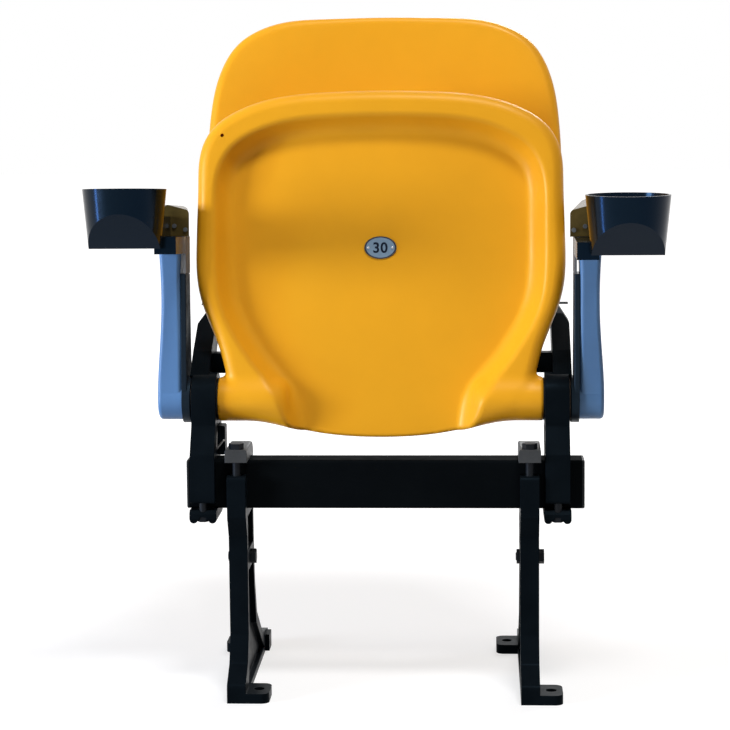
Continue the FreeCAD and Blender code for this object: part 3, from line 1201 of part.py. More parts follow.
def make_cup(name, side):
    """Tapered cup with a flat sloping panel across its lower front, and its lug."""
    def cup_cone(label, skin):
        cone = doc.addObject("Part::Cone", label)
        fall = "((Sizes.cup_top - Sizes.cup_bottom) / Sizes.cup_height)"
        lift = "(%s > 0 ? %s : 0)" % (skin, skin)
        cone.setExpression("Radius1", "Sizes.cup_bottom - %s + %s * %s" % (skin, fall, lift))
        cone.setExpression("Radius2", "Sizes.cup_top - %s + %s * %s" % (skin, fall, skin))
        cone.setExpression("Height", "Sizes.cup_height")
        cone.setExpression("Placement.Base.x", "%d * Sizes.cup_side" % side)
        cone.setExpression("Placement.Base.y", "-Sizes.cup_forward")
        cone.setExpression("Placement.Base.z", "Sizes.cup_rim - Sizes.cup_height + %s" % skin)
        return cone

    def sloping_wedge(label, skin):
        box = doc.addObject("Part::Box", label)
        slope = ("atan((Sizes.cup_height - Sizes.cup_cut)"
                 " / (Sizes.cup_top - Sizes.cup_cut_back))")
        box.Length = 200
        box.Width = 200
        box.Height = 200
        box.Placement = Placement(Vector(), Rotation(Vector(1, 0, 0), 1))
        box.setExpression("Placement.Rotation.Angle", "-%s" % slope)
        box.setExpression("Placement.Base.x", "%d * Sizes.cup_side - 100" % side)
        box.setExpression("Placement.Base.y", "-Sizes.cup_forward - Sizes.cup_cut_back"
                          " + %s * sin(%s) - 200 * cos(%s) - 200 * sin(%s)"
                          % (skin, slope, slope, slope))
        box.setExpression("Placement.Base.z", "Sizes.cup_rim - Sizes.cup_height"
                          " + %s * cos(%s) + 200 * sin(%s) - 200 * cos(%s)"
                          % (skin, slope, slope, slope))
        return box

    def combine(kind, label, base, tool):
        result = doc.addObject(kind, label)
        result.Base = base
        result.Tool = tool
        return result

    outer = combine("Part::Cut", "cup_outer", cup_cone("cone", "0"), sloping_wedge("wedge", "0"))
    inner = combine("Part::Cut", "cup_inner", cup_cone("cone", "Sizes.cup_wall"),
                    sloping_wedge("wedge", "Sizes.cup_wall"))
    start = "-Sizes.cup_forward + Sizes.lug_start"

    def lug_box(label, inner_face, width, front, rear, low, high):
        box = doc.addObject("Part::Box", label)
        box.setExpression("Length", width)
        box.setExpression("Width", "(%s) - (%s)" % (rear, front))
        box.setExpression("Height", "(%s) - (%s)" % (high, low))
        box.setExpression("Placement.Base.x", inner_face if side > 0
                          else "-(%s) - (%s)" % (inner_face, width))
        box.setExpression("Placement.Base.y", front)
        box.setExpression("Placement.Base.z", low)
        return box

    shelf = rest_low + " - Sizes.free_gap"
    foot = rest_low + " - Sizes.lug_drop"
    rear_end = "-Sizes.post_reach - Sizes.free_gap"
    lug = lug_box("lug", "Sizes.lug_in", "Sizes.lug_width", start, rear_end, foot, shelf)
    collar = lug_box("collar", "Sizes.lug_in", "Sizes.collar_width",
                     rear_end + " - Sizes.collar_depth", rear_end, foot, shelf)
    web = lug_box("web", "Sizes.lug_in + Sizes.lug_width - Sizes.web_width", "Sizes.web_width",
                  start, "-Sizes.rest_front - Sizes.snug", shelf, rest_low + " + Sizes.web_rise")
    arm = combine("Part::Fuse", "lug_with_web", combine("Part::Fuse", "lug_arm", lug, collar), web)
    whole = combine("Part::Fuse", "cup_with_lug", outer, arm)
    cup = combine("Part::Cut", "cup_holder_" + name, whole, inner)
    cup.Label = "cup_holder_" + name
    place(cup, turn=arm_turn[name])


screw_places = ((4.5, 8), (18, 12.5))


def make_arm_screws(name, side):
    """Two screws in the front end of an armrest."""
    screws = []
    radius = value("Sizes.arm_screw")
    front = -value("Sizes.rest_front")
    for across, height in screw_places:
        head = Vector(side * (value("Sizes.rest_in") + across), front,
                      value(rest_low) + height)
        screws.append(Part.makeCylinder(radius * 1.8, 2, head, Vector(0, -1, 0)).fuse(
            Part.makeCylinder(radius, 16, head, Vector(0, 1, 0))))
    shape_piece("arm_screws_" + name, Part.makeCompound(screws), turn=arm_turn[name])


make_beam()
make_beam_cap("left", -1)
make_beam_cap("right", 1)
for side_name, side_sign in (("left", -1), ("right", 1)):
    make_leg(side_name, side_sign)
    make_leg_clamp(side_name, side_sign)
    make_upright(side_name, side_sign)
    make_keeper(side_name, side_sign)
    make_bumper(side_name, side_sign)
    make_pin(side_name, side_sign)
    make_hinge_rings(side_name, side_sign)
    make_post(side_name, side_sign)
    make_arm_cover(side_name, side_sign)
    make_hub_cap(side_name, side_sign)
    make_arm_core(side_name, side_sign)
    make_armrest(side_name, side_sign)
    make_cup(side_name, side_sign)
    make_arm_screws(side_name, side_sign)
make_leg_bolts()
make_upright_bolts()
make_anchor()
make_pin_nuts()
make_spring()
make_seat()
make_number_plate()
make_back()

doc.recompute()


def is_piece(thing):
    """True for a finished piece: a body, a free shape or the last cut of a cup."""
    if thing.TypeId in ("PartDesign::Body", "Part::Feature"):
        return True
    return thing.TypeId == "Part::Cut" and thing.Label.startswith("cup_holder_")


for thing in doc.Objects:
    for word in ("Invalid", "Error"):
        assert word not in thing.State, "%s is %s" % (thing.Label, word)

pieces = [thing for thing in doc.Objects if is_piece(thing)]
for piece in pieces:
    assert not piece.Shape.isNull(), piece.Label + " has no shape"
    assert piece.Shape.isValid(), piece.Label + " is not a valid shape"

os.makedirs("parts", exist_ok=True)
for piece in pieces:
    piece.Shape.exportStep("parts/%s.step" % piece.Label)
print("%d pieces written" % len(pieces))
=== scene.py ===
import math

import bpy
import numpy as np
from mathutils import Matrix, Vector


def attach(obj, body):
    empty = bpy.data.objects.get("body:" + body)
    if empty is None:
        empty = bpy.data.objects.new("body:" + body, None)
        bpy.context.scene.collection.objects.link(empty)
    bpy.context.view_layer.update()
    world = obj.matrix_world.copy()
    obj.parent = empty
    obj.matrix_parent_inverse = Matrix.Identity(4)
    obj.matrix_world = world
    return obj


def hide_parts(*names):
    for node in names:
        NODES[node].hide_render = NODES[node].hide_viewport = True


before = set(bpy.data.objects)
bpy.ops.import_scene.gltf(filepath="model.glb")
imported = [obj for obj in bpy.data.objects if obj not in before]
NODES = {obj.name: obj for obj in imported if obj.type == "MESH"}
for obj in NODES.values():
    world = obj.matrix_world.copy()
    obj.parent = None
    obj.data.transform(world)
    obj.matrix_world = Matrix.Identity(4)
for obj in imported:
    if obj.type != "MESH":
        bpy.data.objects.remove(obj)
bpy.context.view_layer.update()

# Tip-up stadium seat in a plain studio. The mouldings' own lengths are in millimetres;
# everything that is placed in the scene is in metres.
MM = 0.001
HINGE = Vector((0.0, -0.0115, 0.361))

# Seat moulding: outline, section and lean
SEAT_LEAN = math.radians(8)
SEAT_HALF = 228.0
SEAT_NECK = 184.0
SEAT_TAIL = 49.0
SEAT_TOP = 381.0
SEAT_CORNER = 64.0
SEAT_DEEP = 20.0
SEAT_ROUND = 15.0
SEAT_LOW = (-234.7, -30.3, -54.1)
SEAT_HIGH = (234, 30, 387)

# Hollow of its sitting face
SIT_HOLLOW = 5.0
SIT_SHARE = 1.72
HOLLOW_LIP = 5

# Dish of its underside, which opens downward through the throat
THROAT = 122.5
DISH_SIDE = 24.0
DISH_ABOVE = 31.0
DISH_CORNER = 58.0
DISH_DEPTH = 22.0
DISH_LIP = 5.5
DISH_SLOPE = 1.7
DISH_STEEPNESS = 0.9
DISH_FOOT = 16
DISH_BULGE = 4.5
BULGE_ACROSS = 180
BULGE_UP = 200
BULGE_UP_SHARE = 0.6

# Hinge barrels, sunk into the seat between their roots, and the sleeves round their bushes
BARREL_END = 200.0
BARREL_RADIUS = 27.0
BARREL_EDGE = 2.2
BARREL_BLEND = 10
ROOT_FROM = 70
ROOT_RUN = 56
ROOT_SINK = 15
SLEEVE_RADIUS = 20.6
SLEEVE_INNER = 117.0
SLEEVE_LONG = 40
SLEEVE_EDGE = 11
SLEEVE_BLEND = 9

# Number plate and vent hole, by their places in the seat's own frame
PLATE_UP = 187.0
PLATE_PROUD = 0.9
PLATE_HALF = (0.020, 0.014)
PLATE_BORDER = (0.87, 0.9)
VENT_PLACE = (-194.4, 325.5)
VENT_RADIUS = 2.2
VENT_DEPTH = 12.0

# Digits on the plate, with the shares of the font's size and of the digit's height
DIGIT_HEIGHT = 0.0125
DIGIT_SHARE = 0.70
DIGIT_WEIGHT = 0.035
DIGIT_RELIEF = 0.00012
DIGIT_SPACING = 1.08
DIGIT_PROUD = 0.1

# Back moulding
BACK_LEAN = math.radians(14)
BACK_FOOT = Vector((0.0, -0.0115 + 0.104, 0.470))
BACK_HALF = 227.0
BACK_TOP = 372.0
BACK_CORNER = 90.0
BACK_DEEP = 15.0
BACK_ROUND = 12.0
BACK_LOW = (-232.7, -17.3, -5.1)
BACK_HIGH = (232, 18, 378)
LEAN_HOLLOW = 16.0
LEAN_SHARE = 1.8

# Size of the grid's cells in which a moulding is meshed, and of the hole's sides
CELL = 2.6
HOLE_SIDES = 24
HOLE_ABOVE = 4.0


# Outlines

def both_sides(half):
    """Whole outline from its right half, given from the lowest to the highest point."""
    return half + [(-x, z) for x, z in reversed(half[1:-1])]


def corner_points(half, top, corner, shares):
    """Upper corner, from shares of its size, and the middle of the top."""
    return [(half - across * corner, top - down * corner) for across, down in shares] + [(0, top)]


SEAT_SPREAD = [(0.03, 1.86), (0.14, 1.0), (0.37, 0.66), (0.76, 0.39), (1.23, 0.2),
               (1.98, 0.06), (2.75, 0.015)]
BACK_SPREAD = [(0.02, 1.55), (0.1, 1.0), (0.22, 0.66), (0.42, 0.37), (0.7, 0.18),
               (1.04, 0.065), (1.65, 0.015)]


def seat_outline():
    flare = SEAT_HALF - SEAT_NECK
    points = [(0, -SEAT_TAIL), (THROAT * 0.49, 3 - SEAT_TAIL), (THROAT * 0.86, 11 - SEAT_TAIL),
              (THROAT * 1.12, 21 - SEAT_TAIL), (SEAT_NECK - 20, 34 - SEAT_TAIL),
              (SEAT_NECK - 4, 52 - SEAT_TAIL), (SEAT_NECK + flare * 0.33, 60),
              (SEAT_NECK + flare * 0.62, 93), (SEAT_HALF - 3, 135), (SEAT_HALF, SEAT_TOP / 2)]
    return both_sides(points + corner_points(SEAT_HALF, SEAT_TOP, SEAT_CORNER, SEAT_SPREAD))


def dish_outline():
    half = SEAT_HALF - DISH_SIDE
    run = half - THROAT
    points = [(0, -SEAT_TAIL - 60), (THROAT * 0.55, -SEAT_TAIL - 52),
              (THROAT * 0.86, -SEAT_TAIL - 24), (THROAT * 0.94, -SEAT_TAIL + 8), (THROAT, 0),
              (THROAT + run * 0.3, 31), (THROAT + run * 0.6, 64), (THROAT + run * 0.81, 94),
              (THROAT + run * 0.94, 124), (half - 1, 152), (half, 190), (half, 230)]
    return both_sides(points + corner_points(half, SEAT_TOP - DISH_ABOVE, DISH_CORNER,
                                             SEAT_SPREAD[1:]))


def back_outline():
    points = [(0, 0), (BACK_HALF * 0.42, 2), (BACK_HALF * 0.7, 13), (BACK_HALF * 0.88, 42),
              (BACK_HALF * 0.97, 95)]
    return both_sides(points + corner_points(BACK_HALF, BACK_TOP, BACK_CORNER, BACK_SPREAD))


def closed_spline(points, per_span=16):
    """Smooth closed curve through the points, as a dense ring."""
    here = np.array(points, float)
    after = np.roll(here, -1, 0)
    step = np.linalg.norm(after - here, axis=1)
    before = np.roll(step, 1)
    row = np.arange(len(here))
    system = np.zeros((len(here), len(here)))
    system[row, row] = 2 * (before + step)
    system[row, row - 1] = before
    system[row, (row + 1) % len(here)] = step
    slope = (after - here) / step[:, None]
    bend = np.linalg.solve(system, 6 * (slope - np.roll(slope, 1, 0)))
    bend_after = np.roll(bend, -1, 0)
    square = (step * step / 6)[:, None]
    ring = []
    for t in np.arange(per_span) / per_span:
        s = 1 - t
        ring.append(s * here + t * after + ((s ** 3 - s) * bend + (t ** 3 - t) * bend_after) * square)
    return np.stack(ring, 1).reshape(-1, 2)


# Distance to an outline, read smoothly from a grid

class DistanceMap:
    """Signed distance to a closed ring, in its own plane, positive inside."""

    def __init__(self, ring, margin=64.0, step=2.0):
        self.step = step
        self.low = ring.min(0) - margin
        count = np.ceil((ring.max(0) + margin - self.low) / step).astype(int) + 1
        xs = self.low[0] + step * np.arange(count[0])
        zs = self.low[1] + step * np.arange(count[1])
        start = ring
        along = np.roll(ring, -1, 0) - ring
        length = (along ** 2).sum(1)
        grid = np.zeros(count)
        for i, x in enumerate(xs):
            dx = x - start[:, 0][None, :]
            dz = zs[:, None] - start[:, 1][None, :]
            t = np.clip((dx * along[:, 0] + dz * along[:, 1]) / length, 0, 1)
            away = np.sqrt(((dx - t * along[:, 0]) ** 2 + (dz - t * along[:, 1]) ** 2).min(1))
            rises = (start[:, 1] <= zs[:, None]) != (start[:, 1] + along[:, 1] <= zs[:, None])
            crossing = start[:, 0] + along[:, 0] * dz / np.where(along[:, 1] == 0, 1e-9, along[:, 1])
            inside = (rises & (crossing > x)).sum(1) % 2 == 1
            grid[i] = np.where(inside, away, -away)
        self.grid = self.soften(grid)

    @staticmethod
    def soften(grid):
        for _ in range(2):
            for axis in (0, 1):
                padded = np.pad(grid, [(1, 1) if a == axis else (0, 0) for a in (0, 1)], "edge")
                low = np.take(padded, range(0, grid.shape[axis]), axis)
                high = np.take(padded, range(2, grid.shape[axis] + 2), axis)
                grid = 0.5 * grid + 0.25 * (low + high)
        return grid

    def read(self, x, z):
        """Cubic reading of the grid."""
        a = np.clip((x - self.low[0]) / self.step, 1, self.grid.shape[0] - 3.001)
        b = np.clip((z - self.low[1]) / self.step, 1, self.grid.shape[1] - 3.001)
        i = a.astype(int)
        j = b.astype(int)
        total = 0.0
        for m, wa in enumerate(self.weights(a - i)):
            for n, wb in enumerate(self.weights(b - j)):
                total = total + wa * wb * self.grid[i + m - 1, j + n - 1]
        return total

    @staticmethod
    def weights(t):
        return (((-0.5 * t + 1) * t - 0.5) * t, (1.5 * t - 2.5) * t * t + 1,
                ((-1.5 * t + 2) * t + 0.5) * t, (0.5 * t - 0.5) * t * t)


# Solids as functions that are negative inside

def soft_min(a, b, blend):
    """Smaller of the two, with a fillet as wide as the blend where they meet."""
    h = np.clip(0.5 + 0.5 * (b - a) / blend, 0, 1)
    return b + (a - b) * h - blend * h * (1 - h)


def soft_max(a, b, blend):
    return -soft_min(-a, -b, blend)


def rounded(a, b, radius):
    """Corner of two walls, given as the distances outside each, with a radius."""
    a = a + radius
    b = b + radius
    return np.minimum(np.maximum(a, b), 0) + np.hypot(np.maximum(a, 0), np.maximum(b, 0)) - radius


def ball_cap(x, y, z, width, depth, middle, surface, way):
    """Outside distance to the ball that presses a hollow into a flat surface."""
    radius = (width * width / 4 + depth * depth) / (2 * depth)
    centre = surface - way * depth + way * radius
    return radius - np.sqrt(x * x + (y - centre) ** 2 + (z - middle) ** 2)


def seat_solid(edge_map, dish_map):
    def solid(x, y, z):
        slab = rounded(-edge_map.read(x, z), np.abs(y) - SEAT_DEEP, SEAT_ROUND)
        drum = rounded(np.hypot(y, z) - BARREL_RADIUS, np.abs(x) - BARREL_END, BARREL_EDGE)
        root = np.clip((np.abs(x) - ROOT_FROM) / ROOT_RUN, 0, 1)
        drum = drum + (1 - root * root * (3 - 2 * root)) * ROOT_SINK
        body = soft_min(slab, drum, BARREL_BLEND)
        hollow = ball_cap(x, y, z, SEAT_HALF * SIT_SHARE, SIT_HOLLOW, SEAT_TOP / 2, SEAT_DEEP, 1)
        body = soft_max(body, hollow, HOLLOW_LIP)
        wall = DISH_SLOPE * dish_map.read(x, z) - SEAT_DEEP
        up = (z - PLATE_UP) / BULGE_UP
        sag = DISH_BULGE * ((x / BULGE_ACROSS) ** 2 + BULGE_UP_SHARE * up ** 2)
        floor = soft_min(wall, DISH_DEPTH - SEAT_DEEP + np.minimum(sag, DISH_BULGE), DISH_FOOT)
        steep = math.hypot(1, DISH_SLOPE * DISH_STEEPNESS)
        body = soft_max(body, (floor - y) / steep, DISH_LIP)
        sleeve = rounded(np.hypot(y, z) - SLEEVE_RADIUS, SLEEVE_INNER - np.abs(x), SLEEVE_EDGE)
        sleeve = np.maximum(sleeve, np.abs(x) - SLEEVE_INNER - SLEEVE_LONG)
        return soft_min(body, sleeve, SLEEVE_BLEND)
    return solid


def back_solid(edge_map):
    def solid(x, y, z):
        slab = rounded(-edge_map.read(x, z), np.abs(y) - BACK_DEEP, BACK_ROUND)
        width = BACK_HALF * LEAN_SHARE
        hollow = ball_cap(x, y, z, width, LEAN_HOLLOW, BACK_TOP / 2, -BACK_DEEP, -1)
        return soft_max(slab, hollow, HOLLOW_LIP)
    return solid


# Meshing of such a solid

EDGES = [(a, a | 1 << axis) for axis in range(3) for a in range(8) if not a >> axis & 1]


def corner_offset(corner):
    return [corner >> axis & 1 for axis in range(3)]


def shifted(grid, corner):
    """Value at one corner of every cell of the grid."""
    cut = [slice(o, n - 1 + o) for o, n in zip(corner_offset(corner), grid.shape)]
    return grid[tuple(cut)]


def net_of(solid, low, high, cell):
    """Points and four-sided faces of the surface where the solid's function is zero."""
    axes = [np.arange(a, b + cell, cell) for a, b in zip(low, high)]
    mesh = np.meshgrid(*axes, indexing="ij")
    field = solid(*[m.ravel() for m in mesh]).reshape(mesh[0].shape)
    shape = tuple(n - 1 for n in field.shape)
    total = np.zeros(shape + (3,))
    hits = np.zeros(shape)
    for a, b in EDGES:
        fa = shifted(field, a)
        fb = shifted(field, b)
        cross = (fa < 0) != (fb < 0)
        t = np.where(cross, fa / np.where(cross, fa - fb, 1), 0)
        for axis in range(3):
            oa = corner_offset(a)[axis]
            ob = corner_offset(b)[axis]
            total[..., axis] += np.where(cross, oa + t * (ob - oa), 0)
        hits += cross
    active = hits > 0
    number = np.full(shape, -1)
    number[active] = np.arange(active.sum())
    cells = np.argwhere(active)
    points = (cells + total[active] / hits[active][:, None]) * cell + np.array(low)
    faces = []
    inside = field < 0
    for axis in range(3):
        first = [slice(1, -1)] * 3
        first[axis] = slice(0, -1)
        second = list(first)
        second[axis] = slice(1, None)
        one = inside[tuple(first)]
        two = inside[tuple(second)]
        for leaves in (True, False):
            spots = np.argwhere((one & ~two) if leaves else (~one & two))
            spots = spots + [0 if a == axis else 1 for a in range(3)]
            p, q = [a for a in range(3) if a != axis]
            ring = []
            for dp, dq in ((-1, -1), (0, -1), (0, 0), (-1, 0)):
                spot = spots.copy()
                spot[:, p] += dp
                spot[:, q] += dq
                ring.append(number[tuple(spot.T)])
            forward = leaves == (axis != 1)
            faces.append(np.stack(ring if forward else ring[::-1], 1))
    return points, np.concatenate(faces)


def settle(solid, points, cell, rounds=4, small=0.4, flattest=0.2):
    """Moves the points onto the surface along its slope."""
    steps = small * np.eye(3)
    for _ in range(rounds):
        here = solid(*points.T)
        slope = np.stack([solid(*(points + step).T) - solid(*(points - step).T)
                          for step in steps], 1) / (2 * small)
        move = here[:, None] * slope / np.maximum((slope ** 2).sum(1), flattest)[:, None]
        points = points - np.clip(move, -cell / 2, cell / 2)
    return points


def moulding(name, solid, low, high, lean, foot):
    """Meshed solid, leant back about its foot, as a piece of the scene."""
    points, faces = net_of(solid, low, high, CELL)
    points = settle(solid, points, CELL)
    mesh = bpy.data.meshes.new(name)
    mesh.from_pydata((points * MM).tolist(), [], faces.tolist())
    mesh.transform(Matrix.Translation(foot) @ Matrix.Rotation(-lean, 4, "X"))
    mesh.polygons.foreach_set("use_smooth", [True] * len(mesh.polygons))
    mesh.update()
    piece = bpy.data.objects.new(name, mesh)
    bpy.context.scene.collection.objects.link(piece)
    return piece


# Materials

def node(tree, kind, place, **settings):
    made = tree.nodes.new(kind)
    made.location = place
    for key, number in settings.items():
        setattr(made, key, number)
    return made


def noise(tree, coordinates, scale, detail=3.0, roughness=0.5):
    made = node(tree, "ShaderNodeTexNoise", (-700, 0))
    made.inputs["Scale"].default_value = scale
    made.inputs["Detail"].default_value = detail
    made.inputs["Roughness"].default_value = roughness
    tree.links.new(coordinates, made.inputs["Vector"])
    return made.outputs["Fac"]


def spread(tree, value, low, high, from_low=0.3, from_high=0.7):
    made = node(tree, "ShaderNodeMapRange", (-400, 0))
    made.inputs["From Min"].default_value = from_low
    made.inputs["From Max"].default_value = from_high
    made.inputs["To Min"].default_value = low
    made.inputs["To Max"].default_value = high
    tree.links.new(value, made.inputs["Value"])
    return made.outputs["Result"]


def tint(tree, value, first, second):
    made = node(tree, "ShaderNodeMix", (-300, 200), data_type="RGBA")
    made.inputs["A"].default_value = (*first, 1)
    made.inputs["B"].default_value = (*second, 1)
    tree.links.new(value, made.inputs["Factor"])
    return made.outputs["Result"]


def finish_of(name, colour, roughness, metallic=0.0, patch=0.12, patch_scale=9.0,
              rough_change=0.06, grain=400.0, grain_depth=0.00004, grain_strength=0.3,
              wave=None, specular=0.5, sheen=(1, 1, 1), edge=0.0):
    """Surface with a slowly changing tone, a changing gloss and a fine relief, on which
    comes either a slow wave, given by its scale and depth, or a softening of the edges."""
    material = bpy.data.materials.new(name)
    material.use_nodes = True
    tree = material.node_tree
    shader = tree.nodes["Principled BSDF"]
    shader.inputs["Metallic"].default_value = metallic
    shader.inputs["Specular IOR Level"].default_value = specular
    shader.inputs["Specular Tint"].default_value = (*sheen, 1)
    spot = node(tree, "ShaderNodeTexCoord", (-1100, 0)).outputs["Object"]
    tone = spread(tree, noise(tree, spot, patch_scale, 4.0, 0.55), 0.0, 1.0)
    dark = tuple(c * (1 - patch) for c in colour)
    light = tuple(min(1.0, c * (1 + patch * 0.6)) for c in colour)
    tree.links.new(tint(tree, tone, dark, light), shader.inputs["Base Color"])
    gloss = noise(tree, spot, patch_scale * 5, 3.0, 0.6)
    tree.links.new(spread(tree, gloss, roughness - rough_change, roughness + rough_change),
                   shader.inputs["Roughness"])
    bump = node(tree, "ShaderNodeBump", (-200, -300))
    bump.inputs["Strength"].default_value = grain_strength
    bump.inputs["Distance"].default_value = grain_depth
    tree.links.new(noise(tree, spot, grain, 2.0, 0.5), bump.inputs["Height"])
    if wave is not None:
        scale, depth = wave
        swell = node(tree, "ShaderNodeBump", (-400, -300))
        swell.inputs["Strength"].default_value = 1.0
        swell.inputs["Distance"].default_value = depth
        tree.links.new(noise(tree, spot, scale, 1.0, 0.4), swell.inputs["Height"])
        tree.links.new(swell.outputs["Normal"], bump.inputs["Normal"])
    elif edge > 0:
        soft_edge = node(tree, "ShaderNodeBevel", (-400, -300), samples=6)
        soft_edge.inputs["Radius"].default_value = edge
        tree.links.new(soft_edge.outputs["Normal"], bump.inputs["Normal"])
    tree.links.new(bump.outputs["Normal"], shader.inputs["Normal"])
    return material


YELLOW = finish_of("yellow_moulding", (0.87, 0.40, 0.014), 0.38, patch=0.05, patch_scale=7,
                   grain=900, grain_depth=0.00003, grain_strength=0.25, wave=(11, 0.0005),
                   specular=0.27, sheen=(1, 0.94, 0.66))
POWDER = finish_of("black_powder_coat", (0.0035, 0.0055, 0.0075), 0.34, patch=0.25, patch_scale=25,
                   grain=650, grain_depth=0.00008, grain_strength=0.5, specular=0.02,
                   sheen=(0.4, 0.7, 1), edge=0.0012)
BEAM = finish_of("beam_powder_coat", (0.0036, 0.0048, 0.0058), 0.45, patch=0.2, patch_scale=14,
                 grain=900, grain_depth=0.00004, grain_strength=0.4, specular=0.0015,
                 sheen=(0.6, 0.8, 1), edge=0.0008)
IRON = finish_of("clamp_iron", (0.022, 0.025, 0.028), 0.50, metallic=0.25, patch=0.3,
                 patch_scale=60, grain=500, grain_depth=0.00015, grain_strength=0.7, edge=0.0012)
BOLT = finish_of("black_bolts", (0.008, 0.010, 0.013), 0.40, metallic=0.2, patch=0.3,
                 patch_scale=90, grain=700, specular=0.1, edge=0.0006)
STEEL = finish_of("plated_steel", (0.46, 0.46, 0.47), 0.30, metallic=1.0, patch=0.15,
                  patch_scale=120, grain=800, edge=0.0004)
SCREW = finish_of("dark_screws", (0.10, 0.11, 0.12), 0.34, metallic=0.8, patch=0.2,
                  patch_scale=120, grain=800, edge=0.0003)
CORE = finish_of("arm_core_steel", (0.125, 0.13, 0.14), 0.5, metallic=0.1, patch=0.2,
                 patch_scale=70, grain=700, edge=0.0008)
SPRING = finish_of("spring_steel", (0.33, 0.32, 0.31), 0.33, metallic=1.0, patch=0.2,
                   patch_scale=100, grain=700)
NYLON = finish_of("nylon", (0.72, 0.69, 0.61), 0.45, patch=0.08, patch_scale=60, grain=700)
FIBRE = finish_of("pressed_fibre", (0.15, 0.11, 0.08), 0.8, patch=0.3, patch_scale=250, grain=500)
RUBBER = finish_of("black_rubber", (0.010, 0.010, 0.011), 0.75, patch=0.2, patch_scale=80,
                   grain=900, grain_depth=0.00008, specular=0.2)
BLUE = finish_of("blue_post", (0.098, 0.225, 0.455), 0.36, patch=0.06, patch_scale=16,
                 grain=1000, grain_depth=0.00003, wave=(18, 0.0003), specular=0.3)
NAVY = finish_of("dark_cover", (0.006, 0.009, 0.014), 0.36, patch=0.15, patch_scale=30, grain=900,
                 specular=0.2, sheen=(0.4, 0.7, 1), edge=0.001)
GLOSS = finish_of("black_gloss_plastic", (0.0032, 0.0052, 0.0060), 0.17, patch=0.2,
                  patch_scale=18, rough_change=0.03, grain=1200, grain_depth=0.00002,
                  wave=(16, 0.0003), specular=0.17, sheen=(0.16, 0.45, 1))
REST = finish_of("armrest_plastic", (0.072, 0.052, 0.016), 0.22, patch=0.35, patch_scale=55,
                 rough_change=0.05, grain=1100, grain_depth=0.00003, specular=0.2,
                 sheen=(1, 0.7, 0.35), edge=0.001)
CAP = finish_of("black_cap", (0.006, 0.008, 0.010), 0.45, patch=0.15, patch_scale=40, grain=900,
                specular=0.15, edge=0.0008)
DIGIT = finish_of("digit_print", (0.006, 0.012, 0.026), 0.5, patch=0.1, patch_scale=300, grain=900,
                  specular=0.1)

WEARS = {
    POWDER: ["leg_left", "leg_right", "upright_left", "upright_right", "upright_keeper_left",
             "upright_keeper_right", "spring_anchor"],
    BEAM: ["beam"],
    IRON: ["leg_clamp_left", "leg_clamp_right"],
    BOLT: ["leg_clamp_bolts", "leg_cross_bolts", "upright_bolts", "back_screws"],
    STEEL: ["plate_rivets", "hinge_nuts", "hinge_pin_left", "hinge_pin_right"],
    SCREW: ["arm_screws_left", "arm_screws_right"],
    CORE: ["arm_core_left", "arm_core_right"],
    SPRING: ["return_spring"],
    NYLON: ["hinge_bush_left", "hinge_bush_right"],
    FIBRE: ["friction_washer_left", "friction_washer_right"],
    RUBBER: ["stop_bumper_left", "stop_bumper_right"],
    BLUE: ["arm_post_left", "arm_post_right"],
    NAVY: ["arm_cover_left", "arm_cover_right", "hub_cap_left", "hub_cap_right"],
    GLOSS: ["cup_holder_left", "cup_holder_right"],
    REST: ["armrest_left", "armrest_right"],
    CAP: ["beam_cap_left", "beam_cap_right", "thrust_washer_left", "thrust_washer_right"],
}


def dress(piece, material):
    piece.data.materials.clear()
    piece.data.materials.append(material)


def plate_material(middle):
    """Anodised plate whose raised border is dark."""
    half_across, half_up = PLATE_HALF
    material = finish_of("number_plate_face", (0.17, 0.26, 0.36), 0.36, metallic=0.3, patch=0.1,
                         patch_scale=150, grain=1200)
    tree = material.node_tree
    shader = tree.nodes["Principled BSDF"]
    face = shader.inputs["Base Color"].links[0].from_socket
    spot = node(tree, "ShaderNodeTexCoord", (-1100, 400)).outputs["Object"]
    centred = node(tree, "ShaderNodeVectorMath", (-900, 400), operation="SUBTRACT")
    centred.inputs[1].default_value = (middle[0], 0, middle[2])
    tree.links.new(spot, centred.inputs[0])
    scaled = node(tree, "ShaderNodeVectorMath", (-700, 400), operation="MULTIPLY")
    scaled.inputs[1].default_value = (1 / half_across, 0, 1 / half_up)
    tree.links.new(centred.outputs[0], scaled.inputs[0])
    length = node(tree, "ShaderNodeVectorMath", (-500, 400), operation="LENGTH")
    tree.links.new(scaled.outputs[0], length.inputs[0])
    border = spread(tree, length.outputs["Value"], 0.0, 1.0, *PLATE_BORDER)
    mix = node(tree, "ShaderNodeMix", (-100, 400), data_type="RGBA")
    mix.inputs["B"].default_value = (0.012, 0.018, 0.03, 1)
    tree.links.new(border, mix.inputs["Factor"])
    tree.links.new(face, mix.inputs["A"])
    tree.links.new(mix.outputs["Result"], shader.inputs["Base Color"])
    return material


for finish, names in WEARS.items():
    for name in names:
        dress(NODES[name], finish)


# Mouldings

def seat_point(x, y, z):
    """Scene place of a point of the seat's own frame, given in millimetres."""
    return HINGE + Matrix.Rotation(-SEAT_LEAN, 3, "X") @ Vector((x, y, z)) * MM


